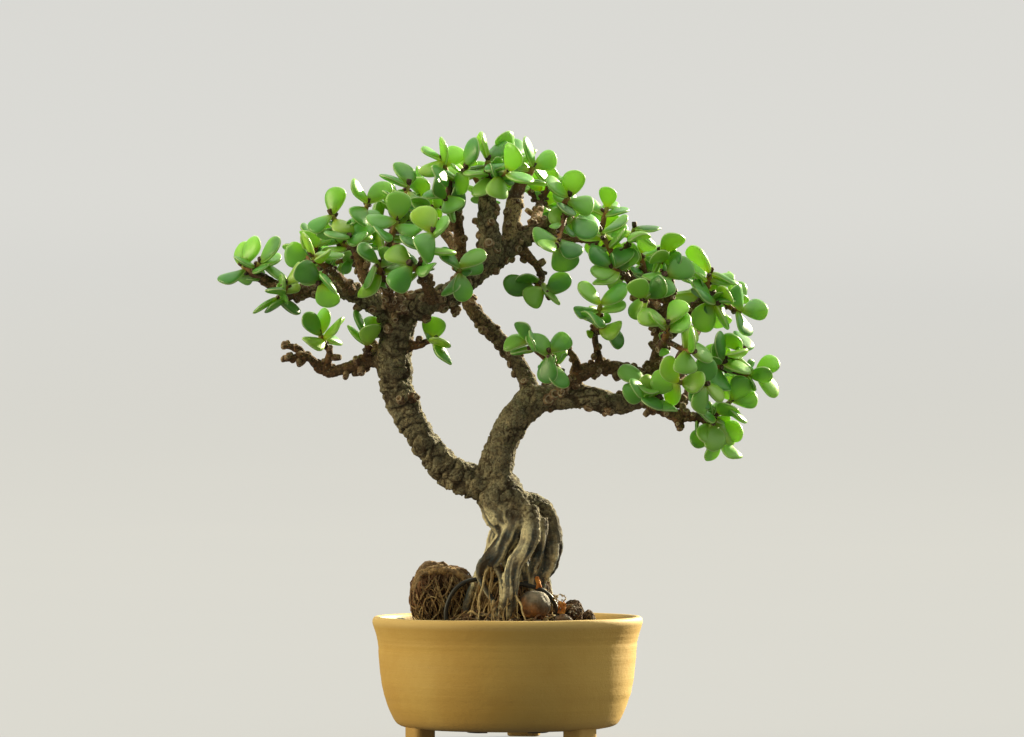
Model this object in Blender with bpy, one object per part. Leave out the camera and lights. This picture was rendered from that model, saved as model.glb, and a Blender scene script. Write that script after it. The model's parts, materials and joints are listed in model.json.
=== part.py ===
"""Potted jade plant: a small two-trunked succulent tree in a thrown clay pot on three feet.

Metres, +Z up. The origin lies under the middle of the whole plant, on the surface it stands on,
and -Y is the front. Shapes are worked out in millimetres and scaled as each mesh is made.
"""

import math
import random
from collections import namedtuple

import bmesh
import bpy
from mathutils import Matrix, Quaternion, Vector, noise
from mathutils.bvhtree import BVHTree

# Driving sizes, in millimetres
GAP = 0.3
POT_AXIS_X = 4.0
POT_AXIS_Y = 0.0
POT_SEGMENTS = 24
FOOT_HEIGHT = 5.5
FOOT_RING = 38.0
FOOT_ANGLES = (-66.0, 49.0, 170.0)
FOOT_LENGTH = 13.0
FOOT_DEPTH = 9.0
FOOT_SINK = 1.5
FOOT_ROUNDING = 2.6
FLOOR_THICKNESS = 5.0
DRAIN_RADIUS = 5.0
TIE_HOLE_RADIUS = 1.6
TIE_HOLE_X = 17.0
WIRE_DEPTH_Y = -6.0
WIRE_RADIUS = 0.75
SCREEN_SIDE = 15.0
SCREEN_CELLS = 3
SCREEN_THICKNESS = 0.8
SCREEN_STRIP = 0.7
SOIL_RADIUS = 48.5
SOIL_SEGMENTS = 26
SOIL_RINGS = 6
SOIL_EDGE = 44.6
SOIL_MOUND = 3.2
SOIL_GRAIN = 0.7
SOIL_HEAP = 8.5
HEAP_MIDDLE = (-4.0, 1.0)
HEAP_REACH = (15.0, 12.0)
ROOT_HOLE_GAP = 0.5
ROOT_HOLE_END = 1.5

# How the photograph shows the plant: its scale, the pot's axis and the standing surface
MM_PER_PIXEL = 0.4
AXIS_COLUMN = 507.5
FLOOR_ROW = 741.0

# Leaves, in millimetres
LEAF_LENGTH = 13.2
LEAF_WIDTH = 9.6
LEAF_THICKNESS = 2.3
LEAF_SIDES = 6
LEAF_SINK = 0.6
LEAF_TRIES = 60
TRY_STEP = math.radians(2.2)
PROBE_START = 0.25
ROOT_START = 0.02
PROBE_SWELL = 1.1
PAIR_SPACING = 3.6
STEM_TRIES = 40
STEM_STEP = 0.15
FORK_CLEAR = 3.6
TWIG_TIP = 1.05
TWIG_FOOT = 1.2
TWIG_LEAVING = 0.35
TWIG_ARRIVING = 0.30
SHOOT_LENGTH = (11.0, 17.0)
GOLDEN_TURN = math.pi * (3 - math.sqrt(5))
SEED = 7

# How far a Decimate may go, as shares of the triangles
LIGHTEST = 0.46
TRUNK_LIGHTEST = 0.40
SOIL_LIGHTEST = 0.52
LIGHTEN_STEP = 0.02

Limb = namedtuple("Limb", "name points")
Spray = namedtuple("Spray", "name branch shoots")
Shoot = namedtuple("Shoot", "tip leaves")
Wild = namedtuple("Wild", "name branch shoots spread")


def seen(column, row, depth=0.0):
    """The point, in mm from the pot's axis, that the photograph shows at a column and row."""
    return Vector(((column - AXIS_COLUMN) * MM_PER_PIXEL, depth, (FLOOR_ROW - row) * MM_PER_PIXEL))


# The woody limbs: column, row, depth in mm (minus is nearer), thickness in pixels
LIMBS = (
    Limb("stock", ((519, 552, 0, 24), (520, 538, -1, 38), (515, 523, -1, 46), (507, 508, 0, 50),
                   (500, 492, 0, 48), (496, 474, 0, 34))),
    Limb("left_trunk", ((500, 494, 0, 38), (480, 484, 1, 35), (455, 474, 2, 31), (433, 453, 3, 30),
                        (415, 426, 3, 31), (401, 400, 2, 33), (393, 370, 1, 36), (396, 342, 0, 35),
                        (400, 320, -1, 33), (402, 308, -2, 26))),
    Limb("right_trunk", ((498, 492, 0, 36), (497, 464, -1, 35), (504, 440, -2, 33),
                         (515, 419, -3, 32), (531, 403, -3, 31), (552, 396, -3, 27),
                         (586, 396, -5, 25), (618, 404, -6, 21), (642, 398, -6, 18))),
    Limb("left_limb", ((399, 326, -1, 28), (391, 312, -2, 25), (369, 300, -4, 21),
                       (339, 289, -6, 18), (307, 291, -6, 15), (281, 288, -5, 13),
                       (262, 278, -4, 12))),
    Limb("high_arm", ((400, 322, -1, 30), (416, 307, -4, 28), (433, 300, -6, 26),
                      (452, 294, -7, 25), (467, 280, -7, 24), (483, 266, -6, 23),
                      (507, 249, -4, 21), (532, 234, -3, 17), (550, 224, -3, 12),
                      (558, 214, -4, 10))),
    Limb("low_left", ((390, 358, 1, 20), (374, 359, 3, 15), (352, 367, 4, 13), (325, 371, 4, 11),
                      (307, 357, 2, 9), (284, 359, 1, 7))),
    Limb("back_arm", ((534, 402, -1, 22), (522, 370, 3, 18), (505, 345, 5, 17), (490, 330, 7, 16),
                      (474, 311, 9, 15), (464, 288, 12, 14), (461, 258, 12, 13),
                       (458, 228, 5, 12), (454, 204, 1, 10))),
    Limb("rise", ((640, 402, -6, 17), (651, 374, -6, 16), (658, 350, -6, 14), (659, 330, -6, 13),
                  (648, 308, -9, 11), (634, 288, -11, 9))),
    Limb("side", ((650, 382, -6, 14), (680, 369, -8, 12), (704, 368, -10, 10))),
    Limb("droop", ((640, 394, -6, 15), (655, 406, -8, 13), (672, 414, -8, 12), (697, 417, -9, 10))),
    Limb("knuckles", ((553, 397, -5, 14), (582, 374, -9, 13), (614, 367, -9, 13), (642, 376, -7, 12))),
    Limb("spur_a", ((306, 360, 3, 9), (299, 350, 4, 8), (284, 345, 5, 7))),
    Limb("spur_b", ((372, 360, 3, 10), (374, 345, 6, 9), (360, 338, 7, 8))),
    Limb("spur_c", ((579, 377, -9, 8), (574, 357, -13, 8), (566, 350, -13, 6))),
    Limb("spur_d", ((451, 300, -6, 10), (456, 313, -8, 8))),
    Limb("spur_e", ((604, 402, -6, 12), (609, 412, -9, 9))),
    Limb("spur_f", ((676, 414, -8, 10), (680, 428, -9, 8))),
    Limb("spur_g", ((405, 402, 0, 16), (416, 396, -4, 8))),
)

# The roots, from the crown down into the soil
ROOTS = (
    Limb("leg", ((530, 508, -6, 20), (531, 528, -10, 19), (526, 546, -12, 18), (516, 560, -13, 16),
                 (512, 575, -13, 15), (511, 592, -13, 14), (508, 610, -12, 13), (508, 630, -11, 11),
                 (508, 644, -11, 9))),
    Limb("ridge", ((522, 504, -3, 20), (513, 526, -8, 16), (505, 543, -9, 15),
                   (498, 556, -9.5, 13), (490, 566, -10, 10))),
    Limb("knee", ((512, 528, -4, 26), (502, 544, -7, 20), (490, 556, -9, 15), (481, 567, -10, 11),
                  (482, 580, -10, 8), (489, 593, -11, 7), (495, 603, -11, 7), (497, 620, -11, 6),
                  (497, 641, -10, 6))),
    Limb("strand", ((496, 566, -9, 9), (501, 577, -11, 6), (502, 592, -12, 6), (501, 612, -12, 6),
                    (501, 641, -11, 6))),
    Limb("left", ((511, 536, -1, 28), (499, 549, 1, 20), (488, 562, 2, 14), (478, 577, 0, 11), (470, 594, -3, 9),
                  (465, 612, -3, 8), (463, 642, -3, 7))),
    Limb("loop", ((522, 504, 0, 30), (540, 508, 1, 22), (549, 520, 2, 20), (553, 536, 3, 20),
                  (552, 552, 3, 21), (548, 567, 3, 18), (541, 581, 3, 14), (539, 600, 3, 11),
                  (540, 620, 4, 10), (540, 642, 4, 9))),
    Limb("knuckle", ((540, 518, -4, 18), (541, 538, -6, 15), (538, 554, -6, 12), (533, 567, -5, 10),
                     (531, 578, -3, 8), (532, 600, -2, 7), (532, 641, -2, 6))),
    Limb("back_left", ((506, 520, 6, 24), (494, 548, 12, 16), (484, 580, 15, 12), (480, 612, 17, 10),
                       (479, 642, 18, 8))),
    Limb("back_mid", ((515, 524, 6, 26), (514, 556, 13, 18), (512, 592, 16, 14), (512, 642, 18, 9))),
    Limb("back_right", ((526, 516, 6, 24), (535, 545, 13, 16), (545, 580, 17, 12),
                        (550, 612, 19, 10), (551, 642, 20, 8))),
)

# Leafy sprays as the photograph shows them: the woody branch that carries each, then its shoots,
# each with its tip and the middles of its leaves
SPRAYS = (
    Spray("spray_left_tip", "left_limb", (
        Shoot((242, 265, -3), ((251, 248), (238, 251), (230, 272))),
        Shoot((261, 262, -9), ((273, 252), (276, 270))),
    )),
    Spray("spray_left_under", ((300, 291, -6, 10), (291, 297, -12, 8)), (
        Shoot((277, 298, -14), ((261, 297), (291, 304))),
        Shoot((288, 284, -15), ((297, 272),)),
    )),
    Spray("spray_left_front", ((353, 293, -6, 12), (344, 282, -18, 10), (336, 274, -24, 9)), (
        Shoot((315, 257, -30), ((303, 244), (331, 253))),
        Shoot((322, 284, -33), ((313, 273), (329, 298))),
    )),
    Spray("spray_left_high", ((376, 304, -3, 14), (366, 276, 2, 12), (356, 252, 4, 10)), (
        Shoot((331, 214, 4), ((317, 224), (334, 199), (344, 222))),
        Shoot((368, 202, 2), ((357, 190), (380, 187), (361, 214))),
        Shoot((350, 238, -4), ((340, 232), (362, 230))),
    )),
    Spray("spray_left_mid", ((396, 314, -3, 15), (388, 292, -16, 12), (384, 281, -22, 10)), (
        Shoot((379, 263, -30), ((364, 250), (368, 278), (394, 254))),
        Shoot((398, 221, -25), ((382, 219), (400, 205), (412, 232))),
        Shoot((409, 186, -16), ((396, 177), (411, 167), (422, 200))),
    )),
    Spray("spray_mid_front", ((434, 302, -8, 13), (428, 286, -25, 11), (424, 276, -32, 9)), (
        Shoot((412, 266, -39), ((400, 281), (398, 253))),
        Shoot((434, 234, -37), ((425, 246), (427, 221), (450, 218))),
    )),
    Spray("spray_arm_front", ((463, 287, -8, 12), (461, 279, -22, 9)), (
        Shoot((460, 269, -31), ((447, 260), (472, 256), (468, 284))),
    )),
    Spray("spray_top_left", "back_arm", (
        Shoot((443, 160, -4), ((432, 168), (430, 150), (449, 141), (456, 152))),
        Shoot((466, 168, -9), ((473, 153), (460, 184), (478, 178))),
        Shoot((446, 200, -10), ((436, 190), (455, 208))),
    )),
    Spray("spray_top_stem", ((491, 260, -6, 24), (490, 236, -8, 22), (487, 212, -8, 21),
                             (488, 192, -8, 17)), (
        Shoot((488, 160, -9), ((478, 146), (497, 150), (494, 169))),
        Shoot((508, 172, -21), ((513, 160), (503, 185), (524, 184))),
    )),
    Spray("spray_top_pale", ((511, 247, -3, 22), (512, 220, -1, 18), (515, 198, 0, 17)), (
        Shoot((534, 166, 0), ((531, 148), (547, 163), (521, 158))),
        Shoot((513, 156, 2), ((505, 142), (519, 143))),
    )),
    Spray("spray_top_right", "high_arm", (
        Shoot((569, 196, -5), ((556, 188), (574, 183), (583, 203))),
        Shoot((575, 222, -9), ((558, 214), (588, 213), (587, 235))),
        Shoot((556, 246, -23), ((546, 247), (565, 262))),
    )),
    Spray("spray_rise_left", "rise", (
        Shoot((601, 232, -7), ((614, 224), (612, 241), (590, 222))),
        Shoot((611, 268, -15), ((601, 254), (621, 258), (600, 276))),
        Shoot((634, 228, -8), ((649, 225), (648, 240))),
    )),
    Spray("spray_rise_mid", ((660, 336, -5, 12), (667, 306, -6, 11), (670, 286, -7, 9)), (
        Shoot((660, 252, -8), ((671, 245), (650, 268))),
        Shoot((664, 276, -16), ((663, 289), (680, 269))),
        Shoot((642, 300, -26), ((637, 288), (653, 294))),
    )),
    Spray("spray_rise_right", ((659, 344, -6, 13), (682, 322, -5, 11), (698, 304, -4, 9)), (
        Shoot((710, 272, -5), ((698, 256), (728, 272))),
        Shoot((716, 304, -10), ((711, 290), (722, 317), (701, 320))),
        Shoot((742, 312, -4), ((742, 297), (757, 308), (743, 328))),
    )),
    Spray("spray_rise_front", ((656, 356, -7, 12), (662, 345, -22, 10)), (
        Shoot((666, 324, -34), ((653, 314), (678, 308))),
        Shoot((690, 352, -33), ((687, 340), (704, 349))),
    )),
    Spray("spray_side_end", "side", (
        Shoot((722, 363, -13), ((717, 347), (740, 371))),
        Shoot((742, 350, -6), ((731, 345), (747, 340))),
        Shoot((757, 374, -3), ((764, 361), (766, 385))),
    )),
    Spray("spray_side_low", ((680, 369, -8, 11), (683, 378, -19, 9)), (
        Shoot((676, 382, -29), ((668, 371), (672, 393))),
        Shoot((703, 384, -27), ((701, 395), (719, 385))),
    )),
    Spray("spray_droop_end", "droop", (
        Shoot((720, 438, -8), ((733, 456), (708, 453), (697, 437), (738, 429))),
        Shoot((731, 400, -6), ((739, 389), (749, 396), (735, 412))),
        Shoot((715, 420, -14), ((711, 410), (724, 418))),
    )),
    Spray("spray_droop_root", ((656, 407, -8, 11), (657, 402, -15, 9)), (
        Shoot((658, 398, -26), ((650, 406),)),
        Shoot((641, 384, -25), ((633, 389), (632, 372))),
    )),
    Spray("spray_inner", ((566, 384, -8, 10), (560, 374, -18, 9)), (
        Shoot((549, 352, -27), ((546, 369), (560, 339), (541, 338))),
        Shoot((528, 342, -25), ((524, 329), (516, 342))),
    )),
    Spray("spray_knuckle", ((600, 369, -9, 10), (597, 352, -10, 8), (595, 342, -11, 7)), (
        Shoot((600, 304, -22), ((585, 287), (616, 299))),
        Shoot((604, 326, -20), ((595, 318), (616, 334))),
    )),
    Spray("spray_low_left", ((325, 371, 4, 10), (330, 352, 2, 8), (326, 346, 1, 7)), (
        Shoot((320, 334, 0), ((308, 320), (319, 320), (338, 325))),
    )),
    Spray("spray_low_spur", ((362, 366, 4, 9), (367, 352, 0, 7)), (
        Shoot((366, 336, -3), ((357, 322), (379, 335))),
    )),
    Spray("spray_trunk", ((400, 346, 0, 14), (418, 345, -4, 9), (426, 342, -5, 7)), (
        Shoot((435, 339, -7), ((446, 355),)),
    )),
    Spray("spray_hang", ((518, 246, -3, 14), (534, 262, -4, 9), (541, 274, -4, 8)), (
        Shoot((534, 290, -6), ((517, 287),)),
        Shoot((548, 296, -8), ((558, 281),)),
    )),
)

# Sprays at the back of the crown: the branch, how many shoots, and how wide they fan in degrees
WILD_SPRAYS = (
    Wild("spray_back_far_left", ((330, 290, -5, 12), (322, 280, 10, 10), (314, 268, 22, 9)), 3, 50),
    Wild("spray_back_left", ((384, 308, -1, 15), (368, 286, 16, 12), (356, 262, 30, 9)), 4, 55),
    Wild("spray_back_left_high", ((402, 312, 0, 16), (398, 270, 14, 12), (394, 236, 24, 10)), 4, 55),
    Wild("spray_back_mid", ((464, 264, 12, 13), (448, 236, 26, 11), (436, 220, 36, 9)), 4, 60),
    Wild("spray_back_top", ((484, 266, -4, 15), (484, 232, 14, 12), (486, 204, 26, 10)), 4, 60),
    Wild("spray_back_top_right", ((530, 235, -2, 14), (536, 218, 16, 11), (540, 206, 30, 9)), 4, 60),
    Wild("spray_back_right_high", ((544, 229, 0, 13), (574, 236, 12, 11), (594, 238, 26, 9)), 4, 55),
    Wild("spray_back_right", ((660, 338, -5, 12), (656, 306, 12, 11), (650, 284, 26, 9)), 4, 60),
    Wild("spray_back_far_right", ((672, 373, -7, 12), (690, 342, 10, 11), (704, 320, 22, 9)), 4, 55),
    Wild("spray_back_low_right", ((664, 411, -8, 11), (688, 396, 8, 10), (706, 386, 18, 8)), 3, 50),
)

CLAY = ("pot clay", (0.50, 0.33, 0.12, 1.0), 0.75)
BARK = ("bark", (0.20, 0.13, 0.08, 1.0), 0.9)
LEAF = ("leaf", (0.06, 0.27, 0.06, 1.0), 0.4)
SOIL = ("soil mix", (0.10, 0.06, 0.035, 1.0), 0.95)
FIBRE = ("root fibre", (0.16, 0.08, 0.04, 1.0), 0.95)
PEBBLE = ("pebble", (0.22, 0.18, 0.15, 1.0), 0.6)
LAVA = ("lava lump", (0.06, 0.04, 0.035, 1.0), 0.95)
COATING = ("wire coating", (0.02, 0.02, 0.02, 1.0), 0.5)
MESH_PLASTIC = ("drain screen plastic", (0.03, 0.03, 0.03, 1.0), 0.6)
CHIP = ("bark chip", (0.45, 0.16, 0.05, 1.0), 0.8)


def clear_scene():
    for old in list(bpy.data.objects):
        bpy.data.objects.remove(old, do_unlink=True)


def material(finish):
    name, colour, roughness = finish
    made = bpy.data.materials.get(name) or bpy.data.materials.new(name)
    made.use_nodes = True
    shader = made.node_tree.nodes["Principled BSDF"]
    shader.inputs["Base Color"].default_value = colour
    shader.inputs["Roughness"].default_value = roughness
    shader.inputs["Metallic"].default_value = 0.0
    return made


def to_object(name, bm, finish=BARK):
    """Turns a shape in millimetres into an object in metres, and frees it."""
    bmesh.ops.scale(bm, vec=(0.001, 0.001, 0.001), verts=bm.verts[:])
    mesh = bpy.data.meshes.new(name)
    bm.to_mesh(mesh)
    bm.free()
    mesh.materials.append(material(finish))
    obj = bpy.data.objects.new(name, mesh)
    bpy.context.scene.collection.objects.link(obj)
    return obj


def bake(obj):
    """Applies an object's modifiers."""
    graph = bpy.context.evaluated_depsgraph_get()
    mesh = bpy.data.meshes.new_from_object(obj.evaluated_get(graph))
    obj.modifiers.clear()
    obj.data = mesh


def fuse(name, shapes, finish, operation="UNION", solver="EXACT"):
    """One Boolean joins the first shape with the rest, or cuts the rest from it."""
    body = to_object(name, shapes[0], finish)
    rest = bpy.data.collections.new(name + " rest")
    bpy.context.scene.collection.children.link(rest)
    for number, shape in enumerate(shapes[1:]):
        extra = to_object(f"{name} {number}", shape, finish)
        bpy.context.scene.collection.objects.unlink(extra)
        rest.objects.link(extra)
    cut = body.modifiers.new("join", "BOOLEAN")
    cut.operation = operation
    cut.solver = solver
    cut.operand_type = "COLLECTION"
    cut.collection = rest
    bake(body)
    for extra in list(rest.objects):
        bpy.data.objects.remove(extra, do_unlink=True)
    bpy.data.collections.remove(rest)
    return body


def is_sound(mesh):
    """Whether a mesh is closed, also with its nearest points merged, and cuts through itself nowhere."""
    bm = bmesh.new()
    bm.from_mesh(mesh)
    bmesh.ops.scale(bm, vec=(1000, 1000, 1000), verts=bm.verts[:])
    tree = BVHTree.FromBMesh(bm)
    bm.faces.ensure_lookup_table()
    sound = all(set(bm.faces[a].verts) & set(bm.faces[b].verts)
                for a, b in tree.overlap(tree) if a < b)
    bmesh.ops.remove_doubles(bm, verts=bm.verts[:], dist=0.002)
    sound = sound and all(edge.is_manifold for edge in bm.edges)
    bm.free()
    return sound


def lighten(obj, lightest=LIGHTEST):
    """Collapses the short edges that a Boolean leaves, to the smallest share of the triangles
    that stays sound."""
    whole = obj.data
    for step in range(round((1 - lightest) / LIGHTEN_STEP)):
        share = lightest + step * LIGHTEN_STEP
        obj.data = whole.copy()
        fewer = obj.modifiers.new("lighten", "DECIMATE")
        fewer.decimate_type = "COLLAPSE"
        fewer.ratio = share
        fewer.use_collapse_triangulate = True
        bake(obj)
        if is_sound(obj.data):
            return
    obj.data = whole


def smooth(obj, angle=40.0):
    obj.data.shade_smooth()
    obj.data.set_sharp_from_angle(angle=math.radians(angle))


def between(points, share):
    """A point of the smooth curve through the points, at a share of its length from 0 to 1."""
    place = share * (len(points) - 1)
    index = min(int(place), len(points) - 2)
    t = place - index
    p1, p2 = points[index], points[index + 1]
    p0 = points[index - 1] if index else p1 * 2 - p2
    p3 = points[index + 2] if index + 2 < len(points) else p2 * 2 - p1
    bend = p0 * 2 - p1 * 5 + p2 * 4 - p3
    twist = p1 * 3 - p0 - p2 * 3 + p3
    return (p1 * 2 + (p2 - p0) * t + bend * t * t + twist * t * t * t) / 2


def smooth_path(points, spacing):
    """Points of (x, y, z, radius) about a spacing apart along the smooth curve through these."""
    length = sum((b.to_3d() - a.to_3d()).length for a, b in zip(points, points[1:]))
    count = max(len(points) - 1, round(length / spacing))
    return [between(points, step / count) for step in range(count + 1)]


def limb_points(rows):
    return [Vector((*seen(c, r, d), thick * MM_PER_PIXEL / 2)) for c, r, d, thick in rows]


def frames_along(path, grow, leaving=None):
    """A matrix for each ring, which takes a unit circle to its place square to the path."""
    frames = []
    side = None
    for index, point in enumerate(path):
        ahead = path[min(index + 1, len(path) - 1)].to_3d()
        behind = path[max(index - 1, 0)].to_3d()
        along = leaving if leaving and not index else (ahead - behind).normalized()
        side = side or (Vector((0, 1, 0)) if abs(along.y) < 0.9 else Vector((1, 0, 0)))
        side = (side - along * side.dot(along)).normalized()
        radius = point.w + grow
        turn = Matrix((side * radius, along.cross(side) * radius, along)).transposed().to_4x4()
        frames.append(Matrix.Translation(point.to_3d()) @ turn)
    return frames


def tube(path, sides, grow=0.0, relief=0.0, grain=5.0, leaving=None):
    """A closed tube of rings square to a path of (x, y, z, radius), with bark relief in its rings."""
    bm = bmesh.new()
    ring = bmesh.ops.create_circle(bm, segments=sides, radius=1.0)["verts"]
    edges = bm.edges[:]
    frames = frames_along(path, grow, leaving)
    bmesh.ops.transform(bm, matrix=frames[0], verts=ring)
    rings = [ring]
    for before, after in zip(frames, frames[1:]):
        made = bmesh.ops.extrude_edge_only(bm, edges=edges)["geom"]
        ring = [item for item in made if isinstance(item, bmesh.types.BMVert)]
        edges = [item for item in made if isinstance(item, bmesh.types.BMEdge)]
        edges = [edge for edge in edges if set(edge.verts) <= set(ring)]
        bmesh.ops.transform(bm, matrix=after @ before.inverted(), verts=ring)
        rings.append(ring)
    for ring, point in zip(rings, path):
        centre = point.to_3d()
        for vert in ring:
            vert.co = centre + (vert.co - centre) * (1 + relief * noise.noise(vert.co / grain))
    bmesh.ops.holes_fill(bm, edges=[edge for edge in bm.edges if edge.is_boundary], sides=sides)
    bmesh.ops.recalc_face_normals(bm, faces=bm.faces[:])
    return bm


def sides_for(radius):
    return 8 if radius > 4.5 else 6 if radius > 1.9 else 5


def wood_path(points):
    return smooth_path(points, max(5.0, 1.25 * max(point.w for point in points)))


def wood(points, relief=0.14, grow=0.0):
    return tube(wood_path(points), sides_for(max(point.w for point in points)), grow, relief)


def turned(profile, segments):
    """A closed outline of (radius, height) turned about the Z axis."""
    bm = bmesh.new()
    verts = [bm.verts.new((radius, 0, height)) for radius, height in profile]
    on_axis = [vert for vert in verts if vert.co.x < 1e-6]
    pairs = zip(verts, verts[1:] + verts[:1])
    edges = [bm.edges.new(pair) for pair in pairs if not set(pair) <= set(on_axis)]
    bmesh.ops.spin(bm, geom=verts + edges, cent=(0, 0, 0), axis=(0, 0, 1), angle=2 * math.pi,
                   steps=segments, use_merge=True)
    bmesh.ops.remove_doubles(bm, verts=bm.verts[:], dist=0.001)
    bmesh.ops.recalc_face_normals(bm, faces=bm.faces[:])
    return bm


def block(size, centre, turn=0.0):
    bm = bmesh.new()
    bmesh.ops.create_cube(bm, size=1.0)
    bmesh.ops.scale(bm, vec=size, verts=bm.verts[:])
    place = Matrix.Rotation(turn, 4, "Z") @ Matrix.Translation(centre)
    bmesh.ops.transform(bm, matrix=place, verts=bm.verts[:])
    return bm


def rod(centre, radius, depth, segments=10):
    bm = bmesh.new()
    bmesh.ops.create_cone(bm, cap_ends=True, segments=segments, radius1=radius, radius2=radius,
                          depth=depth, matrix=Matrix.Translation(centre))
    return bm


def lump(centre, size, finer=2, relief=0.12, grain=6.0, grow=0.0):
    """A rough stone: a ball scaled to size, with its surface pushed in and out."""
    bm = bmesh.new()
    bmesh.ops.create_icosphere(bm, subdivisions=finer, radius=1.0)
    for vert in bm.verts:
        swell = 1 + relief * noise.noise(vert.co * Vector(size).length / grain + Vector(centre))
        scaled = Vector((vert.co.x * size[0], vert.co.y * size[1], vert.co.z * size[2]))
        vert.co = Vector(centre) + scaled * swell + vert.co * grow
    return bm


def build_pot():
    """The thrown body with its rolled lip, drain hole and tie holes, on three feet."""
    floor = FOOT_HEIGHT + FLOOR_THICKNESS
    outside = [(39.2, FOOT_HEIGHT), (43.6, 6.8), (45.9, 9.6), (48.6, 16.2), (50.6, 23.1),
               (52.0, 33.0), (52.5, 43.2), (53.7, 44.4), (54.5, 46.6), (54.2, 49.0), (53.2, 50.0)]
    inside = [(51.2, 49.7), (50.2, 47.8), (49.2, 42.0), (47.4, 28.0), (44.4, 16.0), (40.0, floor),
              (DRAIN_RADIUS, floor), (DRAIN_RADIUS, FOOT_HEIGHT)]
    body = turned(outside + inside, POT_SEGMENTS)
    feet = []
    for angle in FOOT_ANGLES:
        height = FOOT_HEIGHT + FOOT_SINK
        foot = block((FOOT_LENGTH, FOOT_DEPTH, height), (0, -FOOT_RING, height / 2),
                     math.radians(angle))
        upright = [edge for edge in foot.edges
                   if abs(edge.verts[0].co.z - edge.verts[1].co.z) > height / 2]
        bmesh.ops.bevel(foot, geom=upright, affect="EDGES", offset=FOOT_ROUNDING, segments=2, profile=0.5,
                        material=-1)
        feet.append(foot)
    pot = fuse("pot", [body] + feet, CLAY)
    whole = bmesh.new()
    whole.from_mesh(pot.data)
    bmesh.ops.scale(whole, vec=(1000, 1000, 1000), verts=whole.verts[:])
    bpy.data.objects.remove(pot, do_unlink=True)
    depth = 3 * FLOOR_THICKNESS
    holes = [rod((x, WIRE_DEPTH_Y, floor - 2.0), TIE_HOLE_RADIUS, depth, 8)
             for x in (-TIE_HOLE_X, TIE_HOLE_X)]
    pot = fuse("pot", [whole] + holes, CLAY, "DIFFERENCE")
    smooth(pot)
    return pot


def build_screen():
    """A square of plastic mesh over the drain hole, flat on the pot's floor."""
    bm = bmesh.new()
    bmesh.ops.create_grid(bm, x_segments=SCREEN_CELLS, y_segments=SCREEN_CELLS, size=SCREEN_SIDE / 2)
    cells = bm.faces[:]
    bmesh.ops.inset_individual(bm, faces=cells, thickness=SCREEN_STRIP)
    bmesh.ops.delete(bm, geom=cells, context="FACES_ONLY")
    bmesh.ops.solidify(bm, geom=bm.faces[:], thickness=SCREEN_THICKNESS)
    low = min(vert.co.z for vert in bm.verts)
    bmesh.ops.translate(bm, vec=(0, 0, FOOT_HEIGHT + FLOOR_THICKNESS + GAP - low), verts=bm.verts[:])
    bmesh.ops.recalc_face_normals(bm, faces=bm.faces[:])
    return to_object("drain_screen", bm, MESH_PLASTIC)


def wire_path():
    """The anchoring wire: bent flat under the floor, up through the soil and over the roots."""
    under = FOOT_HEIGHT - GAP - WIRE_RADIUS
    points = [(-8.0, under), (-13.0, under), (-16.2, under + 0.5), (-TIE_HOLE_X, under + 2.6),
              (-TIE_HOLE_X, 12.0), (-18.5, 24.0), (-22.5, 38.0), (-24.6, 50.0), (-23.2, 57.0),
              (-19.4, 62.2), (-13.5, 64.7), (-6.0, 64.6), (1.0, 63.6), (8.0, 62.4), (13.6, 60.6),
              (17.8, 57.0), (20.0, 50.5), (20.0, 38.0), (18.6, 24.0), (TIE_HOLE_X, 12.0),
              (TIE_HOLE_X, under + 2.6), (16.2, under + 0.5), (13.0, under), (8.0, under)]
    return [Vector((x, WIRE_DEPTH_Y, z, WIRE_RADIUS)) for x, z in points]


def loose_pieces(grow=0.0):
    """What lies on the soil, each as (name, finish, shape), swollen by grow for its seat."""
    return [
        ("pebble", PEBBLE, lump((11.4, -11.4, 55.2), (7.0, 5.4, 6.0), relief=0.08, grow=grow)),
        ("lava_front", LAVA, lump((26.0, -6.0, 51.0), (4.0, 3.6, 3.6), 1, relief=0.3, grow=grow)),
        ("lava_side", LAVA, lump((32.5, -1.0, 49.0), (3.4, 3.2, 3.0), 1, relief=0.3, grow=grow)),
        ("lava_back", LAVA, lump((26.5, 5.0, 52.0), (3.8, 3.6, 4.0), 1, relief=0.3, grow=grow)),
        ("grit", PEBBLE, lump((-42.6, -4.0, 47.4), (2.8, 2.4, 2.2), 1, relief=0.2, grow=grow)),
        ("bark_chip", CHIP, lump((22.0, -14.0, 49.3), (3.6, 2.2, 2.0), 1, relief=0.2, grow=grow)),
    ]


def fibre_shapes(grow=0.0):
    """The root lump at the left: a rough mass with wandering rootlets fused over it."""
    draw = random.Random(SEED)
    middle = Vector((-26.2, 7.4, 57.2))
    size = Vector((11.8, 10.4, 11.8))
    shapes = [lump(middle, size, relief=0.28, grain=7.0, grow=grow)]
    for _ in range(9):
        around = draw.uniform(0, 2 * math.pi)
        turn = draw.uniform(0.5, 1.1) * draw.choice((-1, 1))
        lift = draw.uniform(-0.2, 0.5)
        points = []
        for step in range(5):
            angle = around + turn * step / 2
            up = lift + 0.42 * math.sin(step * 1.5 + around)
            flat = math.sqrt(max(0.1, 1 - up * up))
            reach = 0.99 if 0 < step < 4 else 0.78
            spot = Vector((math.cos(angle) * flat * size.x, math.sin(angle) * flat * size.y,
                           up * size.z)) * reach
            points.append(Vector((*(middle + spot), 1.0 - 0.1 * step)))
        shapes.append(tube(smooth_path(points, 4.0), 5, grow))
    return shapes


def heaped(place):
    """How much higher the soil and old rootlets lie, packed up under the root legs."""
    off_x = (place.x - HEAP_MIDDLE[0]) / HEAP_REACH[0]
    off_y = (place.y - HEAP_MIDDLE[1]) / HEAP_REACH[1]
    return SOIL_HEAP * math.exp(-off_x * off_x - off_y * off_y)


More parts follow.
